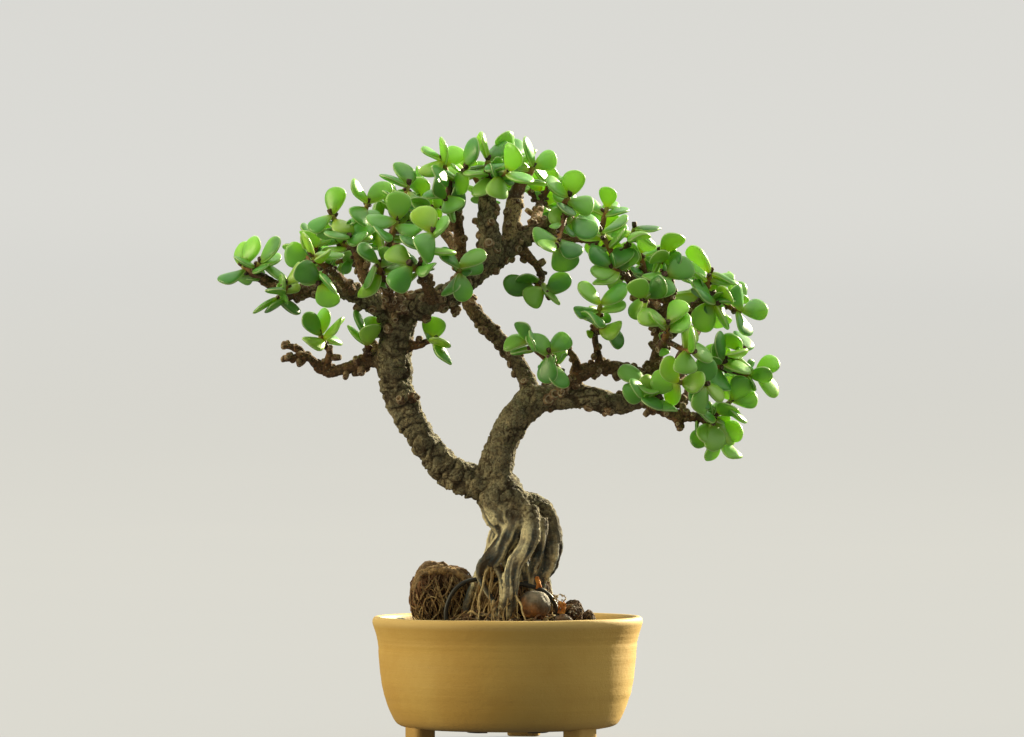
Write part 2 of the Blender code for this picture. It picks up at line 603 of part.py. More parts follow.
def build_soil(roots):
    """The soil body: clear of the wall, mounded, with plain holes for what stands in it."""
    low = FOOT_HEIGHT + FLOOR_THICKNESS + GAP
    over_screen = low + SCREEN_THICKNESS + GAP
    wall = [(39.6, low), (44.0, 16.2), (47.0, 28.2), (48.3, 40.0)]
    outline = [(0.0, over_screen), (SCREEN_SIDE * 0.75, over_screen), (SCREEN_SIDE * 0.75, low)]
    outline += wall
    for step in range(SOIL_RINGS + 1):
        inwards = step / SOIL_RINGS
        outline.append((SOIL_RADIUS * (1 - inwards), SOIL_EDGE + SOIL_MOUND * (1 - (1 - inwards) ** 2)))
    soil = turned(outline, SOIL_SEGMENTS)
    for vert in soil.verts:
        if vert.co.z > SOIL_EDGE - 0.1:
            vert.co.z += heaped(vert.co) + SOIL_GRAIN * noise.noise(vert.co / 4.0)
    cutters = []
    for root in roots:
        points = limb_points(root.points)
        deeper = points[-1] - Vector((0, 0, ROOT_HOLE_END, 0))
        cutters.append(wood(points[:-1] + [deeper], 0.14, ROOT_HOLE_GAP))
    cutters += [shape for _, _, shape in loose_pieces(GAP)]
    cutters += fibre_shapes(GAP)
    cutters.append(tube(smooth_path(wire_path(), 6.5), 6, GAP + 0.1))
    body = fuse("soil", [soil] + cutters, SOIL, "DIFFERENCE", "MANIFOLD")
    keep_largest(body)
    lighten(body, SOIL_LIGHTEST)
    smooth(body, 30.0)
    return body


def keep_largest(obj):
    """Splits faces into triangles and drops loose scraps and sealed hollows that a Boolean leaves."""
    bm = bmesh.new()
    bm.from_mesh(obj.data)
    bmesh.ops.triangulate(bm, faces=bm.faces[:])
    unseen = set(bm.verts)
    groups = []
    while unseen:
        queue = [unseen.pop()]
        group = set(queue)
        while queue:
            for edge in queue.pop().link_edges:
                for vert in edge.verts:
                    if vert in unseen:
                        unseen.discard(vert)
                        group.add(vert)
                        queue.append(vert)
        groups.append(group)
    largest = max(groups, key=len)
    scraps = [vert for group in groups if group is not largest for vert in group]
    bmesh.ops.delete(bm, geom=scraps, context="VERTS")
    bm.to_mesh(obj.data)
    bm.free()


def seat_of(points):
    """The place, direction and radius where a spray begins, just past a branch's flat end."""
    before, end = (point.to_3d() for point in wood_path(points)[-2:])
    along = (end - before).normalized()
    return end + along * GAP, along, points[-1].w


def fan(tip, along, count, spread, draw):
    """Tips and directions of shoots that fan out round a branch's direction."""
    side = along.orthogonal().normalized()
    start = draw.uniform(0, 2 * math.pi)
    for number in range(count):
        turn = start + number * GOLDEN_TURN
        lean = math.radians(spread) * (0.55 + 0.45 * (number % 2)) if number else math.radians(8)
        away = Quaternion(along, turn) @ side
        heading = (along * math.cos(lean) + away * math.sin(lean) + Vector((0, 0, 0.25))).normalized()
        yield tip + heading * draw.uniform(*SHOOT_LENGTH), heading


def leaf_shape(matrix, size, start=0.0, swell=1.0):
    """One plump leaf, a six-sided outline with a raised middle on both faces."""
    bm = bmesh.new()
    bmesh.ops.create_uvsphere(bm, u_segments=LEAF_SIDES, v_segments=2, radius=1.0)
    length, width, thick = (value * size for value in (LEAF_LENGTH, LEAF_WIDTH, LEAF_THICKNESS))
    for vert in bm.verts:
        along = (1 + vert.co.x) / 2
        reach = start + (1 - start) * along
        broad = vert.co.y * width / 2 * (0.68 + 0.58 * along) * swell
        raised = vert.co.z * thick / 2 * swell
        cup = 0.10 * length * reach * reach
        vert.co = Vector((reach * length - LEAF_SINK, broad, raised + cup))
    bmesh.ops.transform(bm, matrix=matrix, verts=bm.verts[:])
    return bm


def leaf_matrix(root, heading, face):
    """Places a leaf: its length along the heading, its upper face towards face."""
    face = (face - heading * face.dot(heading)).normalized()
    across = face.cross(heading)
    turn = Matrix((heading, across, face)).transposed().to_4x4()
    return Matrix.Translation(root) @ turn


class Crown:
    """Everything placed so far, so that a new leaf is laid clear of it."""

    def __init__(self):
        self.solids = []
        self.blades = []

    def add_solid(self, owner, bm):
        self.solids.append((owner, BVHTree.FromBMesh(bm)))

    def stems_clear(self, owner, stems):
        trees = [BVHTree.FromBMesh(stem) for stem in stems]
        return not any(tree.overlap(solid) for tree in trees
                       for other, solid in self.solids if other != owner)

    def clear(self, owner, matrix, size):
        """Tests a whole leaf against other nodes, and all but its root against its own."""
        whole, outer = (self.probe(matrix, size, start) for start in (ROOT_START, PROBE_START))
        middle = matrix @ Vector((LEAF_LENGTH * size / 2, 0, 0))
        if any(other != owner and whole.overlap(tree) for other, tree in self.solids):
            return False
        for other, place, other_whole, other_outer in self.blades:
            if (place - middle).length > 1.5 * LEAF_LENGTH:
                continue
            if other == owner and outer.overlap(other_outer):
                return False
            if other != owner and whole.overlap(other_whole):
                return False
        self.blades.append((owner, middle, whole, outer))
        return True

    @staticmethod
    def probe(matrix, size, start):
        bm = leaf_shape(matrix, size, start, PROBE_SWELL)
        tree = BVHTree.FromBMesh(bm)
        bm.free()
        return tree


def lay_leaf(crown, owner, root, heading, face, size, draw):
    """A leaf as asked, or turned a little further at each try until it is clear; None if never."""
    for attempt in range(LEAF_TRIES):
        axis = Vector((draw.gauss(0, 1), draw.gauss(0, 1), draw.gauss(0, 1))).normalized()
        turn = Quaternion(axis, attempt * TRY_STEP * draw.uniform(0.6, 1.0))
        matrix = leaf_matrix(root, (turn @ heading).normalized(), turn @ face)
        if crown.clear(owner, matrix, size):
            return leaf_shape(matrix, size)
    return None


def seen_leaf(root, middle, size, nearer):
    """The heading of a leaf whose middle the photograph shows, its hidden reach in depth."""
    flat = middle - root
    flat.y = 0
    half = LEAF_LENGTH * size / 2
    if flat.length > half * 0.98:
        flat = flat.normalized() * half * 0.98
    depth = math.sqrt(half * half - flat.length_squared)
    return Vector((flat.x, -depth if nearer else depth, flat.z)).normalized()


def twig(start, along, tip, heading, thick):
    """A twig's centre line from its seat to its tip, leaving along one way, arriving another."""
    reach = (tip - start).length
    first = start + along * reach * TWIG_LEAVING
    last = tip - heading * reach * TWIG_ARRIVING
    points = []
    for step in range(5):
        t = step / 4
        spot = (start * (1 - t) ** 3 + first * 3 * t * (1 - t) ** 2
                + last * 3 * t * t * (1 - t) + tip * t ** 3)
        points.append(Vector((*spot, thick + (TWIG_TIP - thick) * t)))
    return points


def shoots_of(spray, seat, along, draw):
    """The shoots of a spray as (tip, heading, leaf middles), whether seen or at the back."""
    found = []
    if isinstance(spray, Wild):
        for tip, heading in fan(seat, along, spray.shoots, spray.spread, draw):
            found.append((tip, heading, ()))
        return found
    for shoot in spray.shoots:
        tip = seen(*shoot.tip)
        heading = ((tip - seat).normalized() + Vector((0, -0.1, 0.35))).normalized()
        found.append((tip, heading, shoot.leaves))
    return found


def twigs_of(shoots, seat, along, thick):
    """Centre lines: the first shoot from the seat, the others forking from its lower half."""
    lines = []
    for number, (tip, heading, _) in enumerate(shoots):
        if number == 0:
            lines.append(twig(seat, along, tip, heading, thick))
            continue
        clear_of_seat = FORK_CLEAR / (shoots[0][0] - seat).length
        share = min(0.8, max(clear_of_seat, 0.22 + 0.16 * ((number - 1) % 2)))
        fork = between(lines[0], share).to_3d()
        way = ((tip - fork).normalized() * 0.6 + along * 0.4).normalized()
        lines.append(twig(fork, way, tip, heading, TWIG_FOOT))
    return lines


def lay_stems(crown, spray, seat, along, thick, draw):
    """The shoots and stems of a spray, its tips nudged further at each try until all is clear."""
    planned = shoots_of(spray, seat, along, draw)
    for attempt in range(STEM_TRIES):
        nudge = attempt * STEM_STEP
        shoots = [(tip + Vector([draw.gauss(0, nudge) for _ in range(3)]), heading, middles)
                  for tip, heading, middles in planned]
        lines = twigs_of(shoots, seat, along, thick)
        stems = [tube(smooth_path(line, 5.5), 5, relief=0.12, grain=3.0,
                      leaving=along if line is lines[0] else None) for line in lines]
        if crown.stems_clear(spray.name, stems):
            break
    for stem in stems:
        crown.add_solid(spray.name, stem)
    return shoots, lines, stems


def below_tip(line, distance):
    """The point of a twig's centre line a distance back from its tip, clear of its foot."""
    length = sum((b.to_3d() - a.to_3d()).length for a, b in zip(line, line[1:]))
    return between(line, max(0.4, 1 - distance / length)).to_3d()


def leaves_of(spray, shoots, lines, crown, draw):
    """The leaves of a spray: those seen, then opposite pairs down each shoot, each turned a quarter."""
    made = []
    for (tip, heading, middles), line in zip(shoots, lines):
        for number, (column, row) in enumerate(middles):
            root = below_tip(line, 0.6 + 2.4 * (number // 2))
            size = draw.uniform(0.92, 1.08)
            way = seen_leaf(root, seen(column, row), size, nearer=number % 2 == 0)
            face = heading + Vector((0, -0.35, 0.45))
            made.append(lay_leaf(crown, spray.name, root, way, face, size, draw))
        pairs = 2 if not middles else 1
        first = 0 if not middles else (len(middles) + 1) // 2
        side = heading.orthogonal().normalized()
        quarter = draw.uniform(0, math.pi)
        for pair in range(first, first + pairs):
            root = below_tip(line, 0.6 + PAIR_SPACING * pair)
            lean = math.radians(48 + 16 * min(pair, 2))
            for half in (0, math.pi):
                out = Quaternion(heading, quarter + pair * math.pi / 2 + half) @ side
                way = (heading * math.cos(lean) + out * math.sin(lean)).normalized()
                size = draw.uniform(0.86, 1.04) * (0.8 if pair == 0 else 1.0)
                made.append(lay_leaf(crown, spray.name, root, way, heading, size, draw))
    return [shape for shape in made if shape]


def build_plant():
    """The woody plant as one node, and a node for each leafy spray."""
    sprays = list(SPRAYS) + list(WILD_SPRAYS)
    shapes = [wood(limb_points(limb.points)) for limb in LIMBS]
    shapes += [wood(limb_points(root.points)) for root in ROOTS]
    limbs = {limb.name: limb.points for limb in LIMBS}
    seats = {}
    for spray in sprays:
        if isinstance(spray.branch, str):
            points = limb_points(limbs[spray.branch])
        else:
            points = limb_points(spray.branch)
            shapes.append(wood(points, 0.10))
        seats[spray.name] = seat_of(points)
    crown = Crown()
    for shape in shapes:
        crown.add_solid("trunk", shape)
    trunk = fuse("trunk", shapes, BARK, solver="MANIFOLD")
    keep_largest(trunk)
    lighten(trunk, TRUNK_LIGHTEST)
    smooth(trunk, 55.0)
    draw = random.Random(SEED)
    plans = []
    for spray in sprays:
        seat, along, thick = seats[spray.name]
        plans.append((spray, *lay_stems(crown, spray, seat, along, thick, draw)))
    for spray, shoots, lines, stems in plans:
        blades = leaves_of(spray, shoots, lines, crown, draw)
        made = fuse(spray.name, stems + blades, LEAF, solver="MANIFOLD")
        keep_largest(made)
        lighten(made)
        smooth(made, 30.0)
    return trunk


def build_wire():
    wire = to_object("anchor_wire", tube(smooth_path(wire_path(), 6.5), 6), COATING)
    smooth(wire, 60.0)
    return wire


def build_loose():
    for name, finish, shape in loose_pieces():
        smooth(to_object(name, shape, finish), 35.0)
    mass = fuse("root_mass", fibre_shapes(), FIBRE, solver="MANIFOLD")
    keep_largest(mass)
    lighten(mass)
    smooth(mass, 35.0)


def stand_on_origin():
    """Every piece hangs from one empty, which puts the whole plant over the origin."""
    stand = bpy.data.objects.new("stand", None)
    stand.location = (POT_AXIS_X * 0.001, POT_AXIS_Y * 0.001, 0)
    bpy.context.scene.collection.objects.link(stand)
    for obj in bpy.context.scene.collection.objects:
        if obj.type == "MESH":
            obj.parent = stand


clear_scene()
build_plant()
build_pot()
build_screen()
build_soil(ROOTS)
build_wire()
build_loose()
stand_on_origin()
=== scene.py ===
"""The looks of the potted jade plant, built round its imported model.

Metres, +Z up, -Y the front. Shapes are worked out in millimetres from the pot's axis, and scaled
and moved as each mesh is made.
"""

import json
import math
import random
from collections import namedtuple

import bmesh
import bpy
from mathutils import Matrix, Quaternion, Vector, kdtree, noise
from mathutils.bvhtree import BVHTree

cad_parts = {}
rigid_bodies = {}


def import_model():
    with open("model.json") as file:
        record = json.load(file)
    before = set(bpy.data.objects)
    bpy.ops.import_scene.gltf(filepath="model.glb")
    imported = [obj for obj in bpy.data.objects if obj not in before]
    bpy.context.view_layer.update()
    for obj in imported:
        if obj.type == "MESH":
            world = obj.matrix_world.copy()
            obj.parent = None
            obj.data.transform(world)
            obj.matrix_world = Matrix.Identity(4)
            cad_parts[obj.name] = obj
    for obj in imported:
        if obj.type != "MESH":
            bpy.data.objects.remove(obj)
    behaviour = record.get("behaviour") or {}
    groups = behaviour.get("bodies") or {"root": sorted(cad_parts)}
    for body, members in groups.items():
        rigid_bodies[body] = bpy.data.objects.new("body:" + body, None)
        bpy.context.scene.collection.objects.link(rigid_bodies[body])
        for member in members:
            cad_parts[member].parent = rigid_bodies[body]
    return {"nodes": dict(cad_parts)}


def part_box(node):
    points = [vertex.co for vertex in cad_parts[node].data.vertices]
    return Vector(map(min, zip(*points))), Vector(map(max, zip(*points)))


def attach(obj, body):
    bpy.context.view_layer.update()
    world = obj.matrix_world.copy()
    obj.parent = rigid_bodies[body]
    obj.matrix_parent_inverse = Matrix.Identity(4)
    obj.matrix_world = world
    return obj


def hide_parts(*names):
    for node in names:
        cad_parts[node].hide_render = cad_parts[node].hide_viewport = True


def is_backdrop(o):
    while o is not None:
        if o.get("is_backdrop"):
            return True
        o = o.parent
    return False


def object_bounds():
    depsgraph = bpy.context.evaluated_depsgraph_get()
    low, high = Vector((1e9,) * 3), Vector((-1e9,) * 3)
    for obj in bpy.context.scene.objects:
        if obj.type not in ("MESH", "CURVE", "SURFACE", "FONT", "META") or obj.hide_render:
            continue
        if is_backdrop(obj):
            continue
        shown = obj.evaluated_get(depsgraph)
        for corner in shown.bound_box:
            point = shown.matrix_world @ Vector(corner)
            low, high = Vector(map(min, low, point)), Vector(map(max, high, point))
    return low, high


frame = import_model()
CAD_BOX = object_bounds()

# The pot's axis, from the frame, and the step from millimetres about it to the frame's metres
POT_LOW, POT_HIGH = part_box("pot")
AXIS = Vector(((POT_LOW.x + POT_HIGH.x) / 2, (POT_LOW.y + POT_HIGH.y) / 2, 0.0))
TO_FRAME = Matrix.Translation(AXIS) @ Matrix.Scale(0.001, 4)
BOX_LOW, BOX_HIGH = (TO_FRAME.inverted() @ Vector(corner) for corner in CAD_BOX)

# How the photograph shows the plant: its scale, the pot's axis and the standing surface
MM_PER_PIXEL = 0.4
AXIS_COLUMN = 507.5
FLOOR_ROW = 741.0
IMAGE_WIDTH = 1024
CAMERA_COLUMN = 512.0
CAMERA_ROW = 368.5

# The camera's distance in metres and its sensor in millimetres
CAMERA_DISTANCE = 2.7
SENSOR = 36.0

# The lights: where each stands, its power, its spread in degrees and its tone; where the room is
# brightest; and the pale sweep's outline as (radius, height) in metres
LIGHTS = (
    ("warm back light", (1.36, 1.66, 0.80), 13.5, 3.0, (1.0, 0.90, 0.62)),
    ("side fill", (-3.0, -0.45, 0.8), 2.7, 40.0, (1.0, 0.88, 0.55)),
)
SKY_TOP = (0.30, 0.42, 0.86)
SWEEP = ((0.0, 0.0), (1.5, 0.0), (2.8, 0.0), (3.9, 0.0), (4.5, 0.02), (5.0, 0.06), (5.4, 0.13),
         (5.8, 0.26), (6.1, 0.46), (6.3, 0.75), (6.4, 1.15))
SWEEP_SEGMENTS = 64

# The pot, in millimetres: its feet and their angles in degrees, its floor and its holes
FOOT_HEIGHT = 5.5
FOOT_RING = 38.0
FOOT_ANGLES = (-66.0, 49.0, 170.0)
FOOT_LENGTH = 13.0
FOOT_DEPTH = 9.0
FOOT_SINK = 1.5
FOOT_ROUNDING = 2.6
FOOT_SOFTENING = 0.9
FLOOR_THICKNESS = 5.0
FLOOR_TOP = FOOT_HEIGHT + FLOOR_THICKNESS
FLOOR_RINGS = (30.0, 17.0)
DRAIN_RADIUS = 5.0
TIE_HOLE_RADIUS = 1.6
TIE_HOLE_X = 17.0

# Its wall as (radius, height), up the outside, over the lip and down the inside
POT_WALL = ((39.2, FOOT_HEIGHT), (43.4, 6.6), (45.9, 9.6), (48.6, 16.2), (50.4, 23.1), (51.5, 33.0),
            (51.9, 38.4), (52.3, 41.0), (52.9, 43.4), (53.7, 45.8), (54.2, 47.7), (53.9, 49.1),
            (52.9, 49.9), (51.3, 49.6), (50.3, 47.8), (49.2, 42.0), (47.4, 28.0), (44.4, 16.0),
            (40.0, FLOOR_TOP))
POT_SEGMENTS = 128
POT_STEP = 1.1
LIP_HEIGHT = 43.5
WALL_FOOT = 39.0

# The anchoring wire
WIRE_DEPTH_Y = -6.0
WIRE_RADIUS = 0.9

# The soil, its loose grains, and the patch of pale flakes in front of the lava lumps
SOIL_RADIUS = 48.0
SOIL_FLOOR = 43.5
ABOVE_SOIL = 90.0
GRAIN_COUNT = 2200
FLAKE_COUNT = 30
FLAKE_PATCH = ((18.5, 28.0), (-13.0, -6.0), (50.0, 55.0))

# The root lump: a squared ball under woody strips and fibres, with strands that bridge to the roots,
# by column, row and depth in mm
LUMP_MIDDLE = Vector((-26.2, 7.4, 57.2))
LUMP_SIZE = Vector((11.8, 10.4, 11.8))
LUMP_SQUARENESS = 3.0
STRIP_COUNT = 34
FIBRE_COUNT = 230
BRIDGE = ((436, 573, 5), (450, 572, 4), (464, 579, 2), (478, 590, -1), (490, 604, -4))
BRIDGE_COUNT = 7

# The rootlets: how many hang from each root and how far right, how many lie in the mat and wind
# round each lump, and a wisp of them by column, row and depth
HANGING_COUNT = 8
HANGING_RIGHT = 12.5
MAT_COUNT = 190
HEAP_MIDDLE = Vector((-4.0, 1.0, 0.0))
SOIL_WINDINGS = 16
LAVA_WINDINGS = 9
WISP_COUNT = 14
WISP_SPOT = (560, 598, -7)
WISP_SIZE = Vector((2.4, 1.8, 1.6))

# Leaves and twigs as the solids have them, in millimetres
GAP = 0.3
LEAF_LENGTH = 13.2
LEAF_WIDTH = 9.6
LEAF_THICKNESS = 2.3
LEAF_SIDES = 6
LEAF_SINK = 0.6
LEAF_TRIES = 60
TRY_STEP = math.radians(2.2)
PROBE_START = 0.25
ROOT_START = 0.02
PROBE_SWELL = 1.1
PAIR_SPACING = 3.6
STEM_TRIES = 40
STEM_STEP = 0.15
FORK_CLEAR = 3.6
TWIG_TIP = 1.05
TWIG_FOOT = 1.2
TWIG_LEAVING = 0.35
TWIG_ARRIVING = 0.30
SHOOT_LENGTH = (11.0, 17.0)
GOLDEN_TURN = math.pi * (3 - math.sqrt(5))
SEED = 7

# The coarse wood that leaves are laid clear of: its sides step down at these radii
THICK_LIMB = 4.5
THIN_LIMB = 1.9
LIMB_RELIEF = 0.14
TWIG_SIDES = 5
TWIG_RELIEF = 0.12
COARSE_STEP = 5.5

# The finer leaves and twigs: sides to a leaf, its part turn to the light, and the shares of twigs
# with a young pair, a dry tip and a missing scar
LEAF_AROUND = 16
LEAF_LEVELLING = 0.5
LEAF_LIGHT = Vector((0.42, -0.30, 0.86)).normalized()
SMALL_PAIRS = 0.6
DRY_TIPS = 0.85
MISSING_SCARS = 0.35
TWIG_SPACING = 1.4
STEM_SINK = 2.2

# The wood: how finely it is fused, where the roots leave it by column and row, the pale stem, the
# strands with blocky bark, and how far each root's painted light and shade is shifted lighter or darker
WOOD_STEP = 1.6
ROOT_CROWN = (500, 506)
BARK_VOXEL = 0.7
BARK_SOFTENING = 3
PALE_STEM = "spray_top_pale"
BLOCKY = {"left_trunk": 1.0, "high_arm": 0.8, "left_limb": 0.6, "stock": 0.5}
ROOT_LIGHT_SHIFT = {"leg": 0.28, "ridge": 0.18, "knee": 0.14, "strand": 0.25, "loop": -0.32, "knuckle": -0.05,
             "stock": 0.16, "heart": -0.1, "left": 0.0}

# The knobs on wood thinner than THICK_WOOD: how far apart they stand, how they grow with the wood,
# how deep they are set, the share that are dry stubs, and the cut ends that bear a few
THICK_WOOD = 5.6
PLAIN_KNOBS = 4.2
KNOBBY = {"knuckles": 1.5, "rise": 1.8, "side": 1.8, "droop": 1.8, "left_limb": 2.6, "high_arm": 2.8,
          "back_arm": 2.4, "low_left": 2.4, "spray_top_stem": 1.6, "spray_rise_mid": 2.0,
          "spray_rise_right": 2.0, "spray_left_mid": 2.2, "spray_left_high": 2.2}
KNOB_GROWTH = (0.92, 0.15)
KNOB_SINK = 0.3
KNOB_FOOT = 0.35
DRY_STUBS = 0.3
BARE_ENDS = ("low_left", "spur_a", "spur_b", "spur_c", "spur_d", "spur_e", "spur_f", "spur_g")
END_KNOBS = 6

# The packed soil under the roots: column, row, depth and radius in mm
PACKED_SOIL = ((483, 609, 3, 6.5), (494, 603, 5, 8.0), (506, 599, 8, 8.5), (519, 600, 7, 8.5),
               (531, 603, 7, 7.5), (543, 608, 8, 5.5), (498, 588, 9, 6.5), (513, 584, 10, 6.5),
               (526, 587, 9, 6.5), (537, 593, 10, 5.5), (528, 566, 12, 4.6))

Limb = namedtuple("Limb", "name points")
Spray = namedtuple("Spray", "name branch shoots")
Shoot = namedtuple("Shoot", "tip leaves")
Wild = namedtuple("Wild", "name branch shoots spread")
Placed = namedtuple("Placed", "matrix size")
Strand = namedtuple("Strand", "name path rooty")
Layers = namedtuple("Layers", "along rim tint")
Stone = namedtuple("Stone", "piece node middle size finish slot finer relief grain pits")
Flake = namedtuple("Flake", "foot size lean taper")

# The stones on the soil: middle and half size in mm, how finely the ball is divided, the depth and
# breadth of its relief, and the depth of its pits
STONES = (
    Stone("smooth_pebble", "pebble", (10.8, -11.4, 54.9), (6.3, 5.2, 5.7), "pebble", "pebble",
          5, 0.08, 6.0, 0.0),
    Stone("lava_lump_front", "lava_front", (26.0, -6.0, 51.0), (4.0, 3.6, 3.6), "lava", "lava",
          5, 0.34, 5.0, 0.16),
    Stone("lava_lump_side", "lava_side", (32.5, -1.0, 49.0), (3.4, 3.2, 3.0), "lava", "lava",
          5, 0.34, 5.0, 0.16),
    Stone("lava_lump_back", "lava_back", (26.5, 5.0, 52.0), (3.8, 3.6, 4.0), "lava", "lava",
          5, 0.34, 5.0, 0.16),
    Stone("grit_stone", "grit", (-42.6, -4.0, 47.4), (2.8, 2.4, 2.2), "grit", "pebble",
          4, 0.22, 5.0, 0.0),
    Stone("red_bark_chip", "bark_chip", (22.0, -14.0, 49.3), (3.6, 2.2, 2.0), "chip", "chip",
          4, 0.28, 3.0, 0.1),
)

# The orange flakes of bark: the foot's column, row and depth, the size in mm, the lean in degrees
# and how much narrower the top is
FLAKES = (
    Flake((561.5, 613, -9.5), (3.4, 1.6, 4.8), 8, 0.15),
    Flake((538, 588, -6.5), (2.2, 1.2, 4.4), -10, 0.8),
)

# The woody limbs: column, row, depth in mm (minus is nearer), thickness in pixels
LIMBS = (
    Limb("stock", ((519, 552, 0, 24), (520, 538, -1, 38), (515, 523, -1, 46), (507, 508, 0, 50),
                   (500, 492, 0, 48), (496, 474, 0, 34))),
    Limb("left_trunk", ((500, 494, 0, 38), (480, 484, 1, 35), (455, 474, 2, 31), (433, 453, 3, 30),
                        (415, 426, 3, 31), (401, 400, 2, 33), (393, 370, 1, 36), (396, 342, 0, 35),
                        (400, 320, -1, 33), (402, 308, -2, 26))),
    Limb("right_trunk", ((498, 492, 0, 36), (497, 464, -1, 35), (504, 440, -2, 33),
                         (515, 419, -3, 32), (531, 403, -3, 31), (552, 396, -3, 27),
                         (586, 396, -5, 25), (618, 404, -6, 21), (642, 398, -6, 18))),
    Limb("left_limb", ((399, 326, -1, 28), (391, 312, -2, 25), (369, 300, -4, 21),
                       (339, 289, -6, 18), (307, 291, -6, 15), (281, 288, -5, 13),
                       (262, 278, -4, 12))),
    Limb("high_arm", ((400, 322, -1, 30), (416, 307, -4, 28), (433, 300, -6, 26),
                      (452, 294, -7, 25), (467, 280, -7, 24), (483, 266, -6, 23),
                      (507, 249, -4, 21), (532, 234, -3, 17), (550, 224, -3, 12),
                      (558, 214, -4, 10))),
    Limb("low_left", ((390, 358, 1, 20), (374, 359, 3, 15), (352, 367, 4, 13), (325, 371, 4, 11),
                      (307, 357, 2, 9), (284, 359, 1, 7))),
    Limb("back_arm", ((534, 402, -1, 22), (522, 370, 3, 18), (505, 345, 5, 17), (490, 330, 7, 16),
                      (474, 311, 9, 15), (464, 288, 12, 14), (461, 258, 12, 13),
                       (458, 228, 5, 12), (454, 204, 1, 10))),
    Limb("rise", ((640, 402, -6, 17), (651, 374, -6, 16), (658, 350, -6, 14), (659, 330, -6, 13),
                  (648, 308, -9, 11), (634, 288, -11, 9))),
    Limb("side", ((650, 382, -6, 14), (680, 369, -8, 12), (704, 368, -10, 10))),
    Limb("droop", ((640, 394, -6, 15), (655, 406, -8, 13), (672, 414, -8, 12), (697, 417, -9, 10))),
    Limb("knuckles", ((553, 397, -5, 14), (582, 374, -9, 13), (614, 367, -9, 13), (642, 376, -7, 12))),
    Limb("spur_a", ((306, 360, 3, 9), (299, 350, 4, 8), (284, 345, 5, 7))),
    Limb("spur_b", ((372, 360, 3, 10), (374, 345, 6, 9), (360, 338, 7, 8))),
    Limb("spur_c", ((579, 377, -9, 8), (574, 357, -13, 8), (566, 350, -13, 6))),
    Limb("spur_d", ((451, 300, -6, 10), (456, 313, -8, 8))),
    Limb("spur_e", ((604, 402, -6, 12), (609, 412, -9, 9))),
    Limb("spur_f", ((676, 414, -8, 10), (680, 428, -9, 8))),
    Limb("spur_g", ((405, 402, 0, 16), (416, 396, -4, 8))),
)

# The roots, from the crown down into the soil
ROOTS = (
    Limb("leg", ((530, 508, -6, 20), (531, 528, -10, 19), (526, 546, -12, 18), (516, 560, -13, 16),
                 (512, 575, -13, 15), (511, 592, -13, 14), (508, 610, -12, 13), (508, 630, -11, 11),
                 (508, 644, -11, 9))),
    Limb("ridge", ((522, 504, -3, 20), (513, 526, -8, 16), (505, 543, -9, 15),
                   (498, 556, -9.5, 13), (490, 566, -10, 10))),
    Limb("knee", ((512, 528, -4, 26), (502, 544, -7, 20), (490, 556, -9, 15), (481, 567, -10, 11),
                  (482, 580, -10, 8), (489, 593, -11, 7), (495, 603, -11, 7), (497, 620, -11, 6),
                  (497, 641, -10, 6))),
    Limb("strand", ((496, 566, -9, 9), (501, 577, -11, 6), (502, 592, -12, 6), (501, 612, -12, 6),
                    (501, 641, -11, 6))),
    Limb("left", ((511, 536, -1, 28), (499, 549, 1, 20), (488, 562, 2, 14), (478, 577, 0, 11),
                  (470, 594, -3, 9), (465, 612, -3, 8), (463, 642, -3, 7))),
    Limb("loop", ((522, 504, 0, 30), (540, 508, 1, 22), (549, 520, 2, 20), (553, 536, 3, 20),
                  (552, 552, 3, 21), (548, 567, 3, 18), (541, 581, 3, 14), (539, 600, 3, 11),
                  (540, 620, 4, 10), (540, 642, 4, 9))),
    Limb("knuckle", ((540, 518, -4, 18), (541, 538, -6, 15), (538, 554, -6, 12), (533, 567, -5, 10),
                     (531, 578, -3, 8), (532, 600, -2, 7), (532, 641, -2, 6))),
    Limb("back_left", ((506, 520, 6, 24), (494, 548, 12, 16), (484, 580, 15, 12), (480, 612, 17, 10),
                       (479, 642, 18, 8))),
    Limb("back_mid", ((515, 524, 6, 26), (514, 556, 13, 18), (512, 592, 16, 14), (512, 642, 18, 9))),
    Limb("back_right", ((526, 516, 6, 24), (535, 545, 13, 16), (545, 580, 17, 12),
                        (550, 612, 19, 10), (551, 642, 20, 8))),
)

# The root wood behind the front legs, which closes the gaps between them
HEART_ROOT = Limb("heart", ((512, 530, 0, 30), (512, 548, 2, 26), (517, 562, 5, 30), (521, 590, 5, 20),
                            (521, 640, 6, 16)))

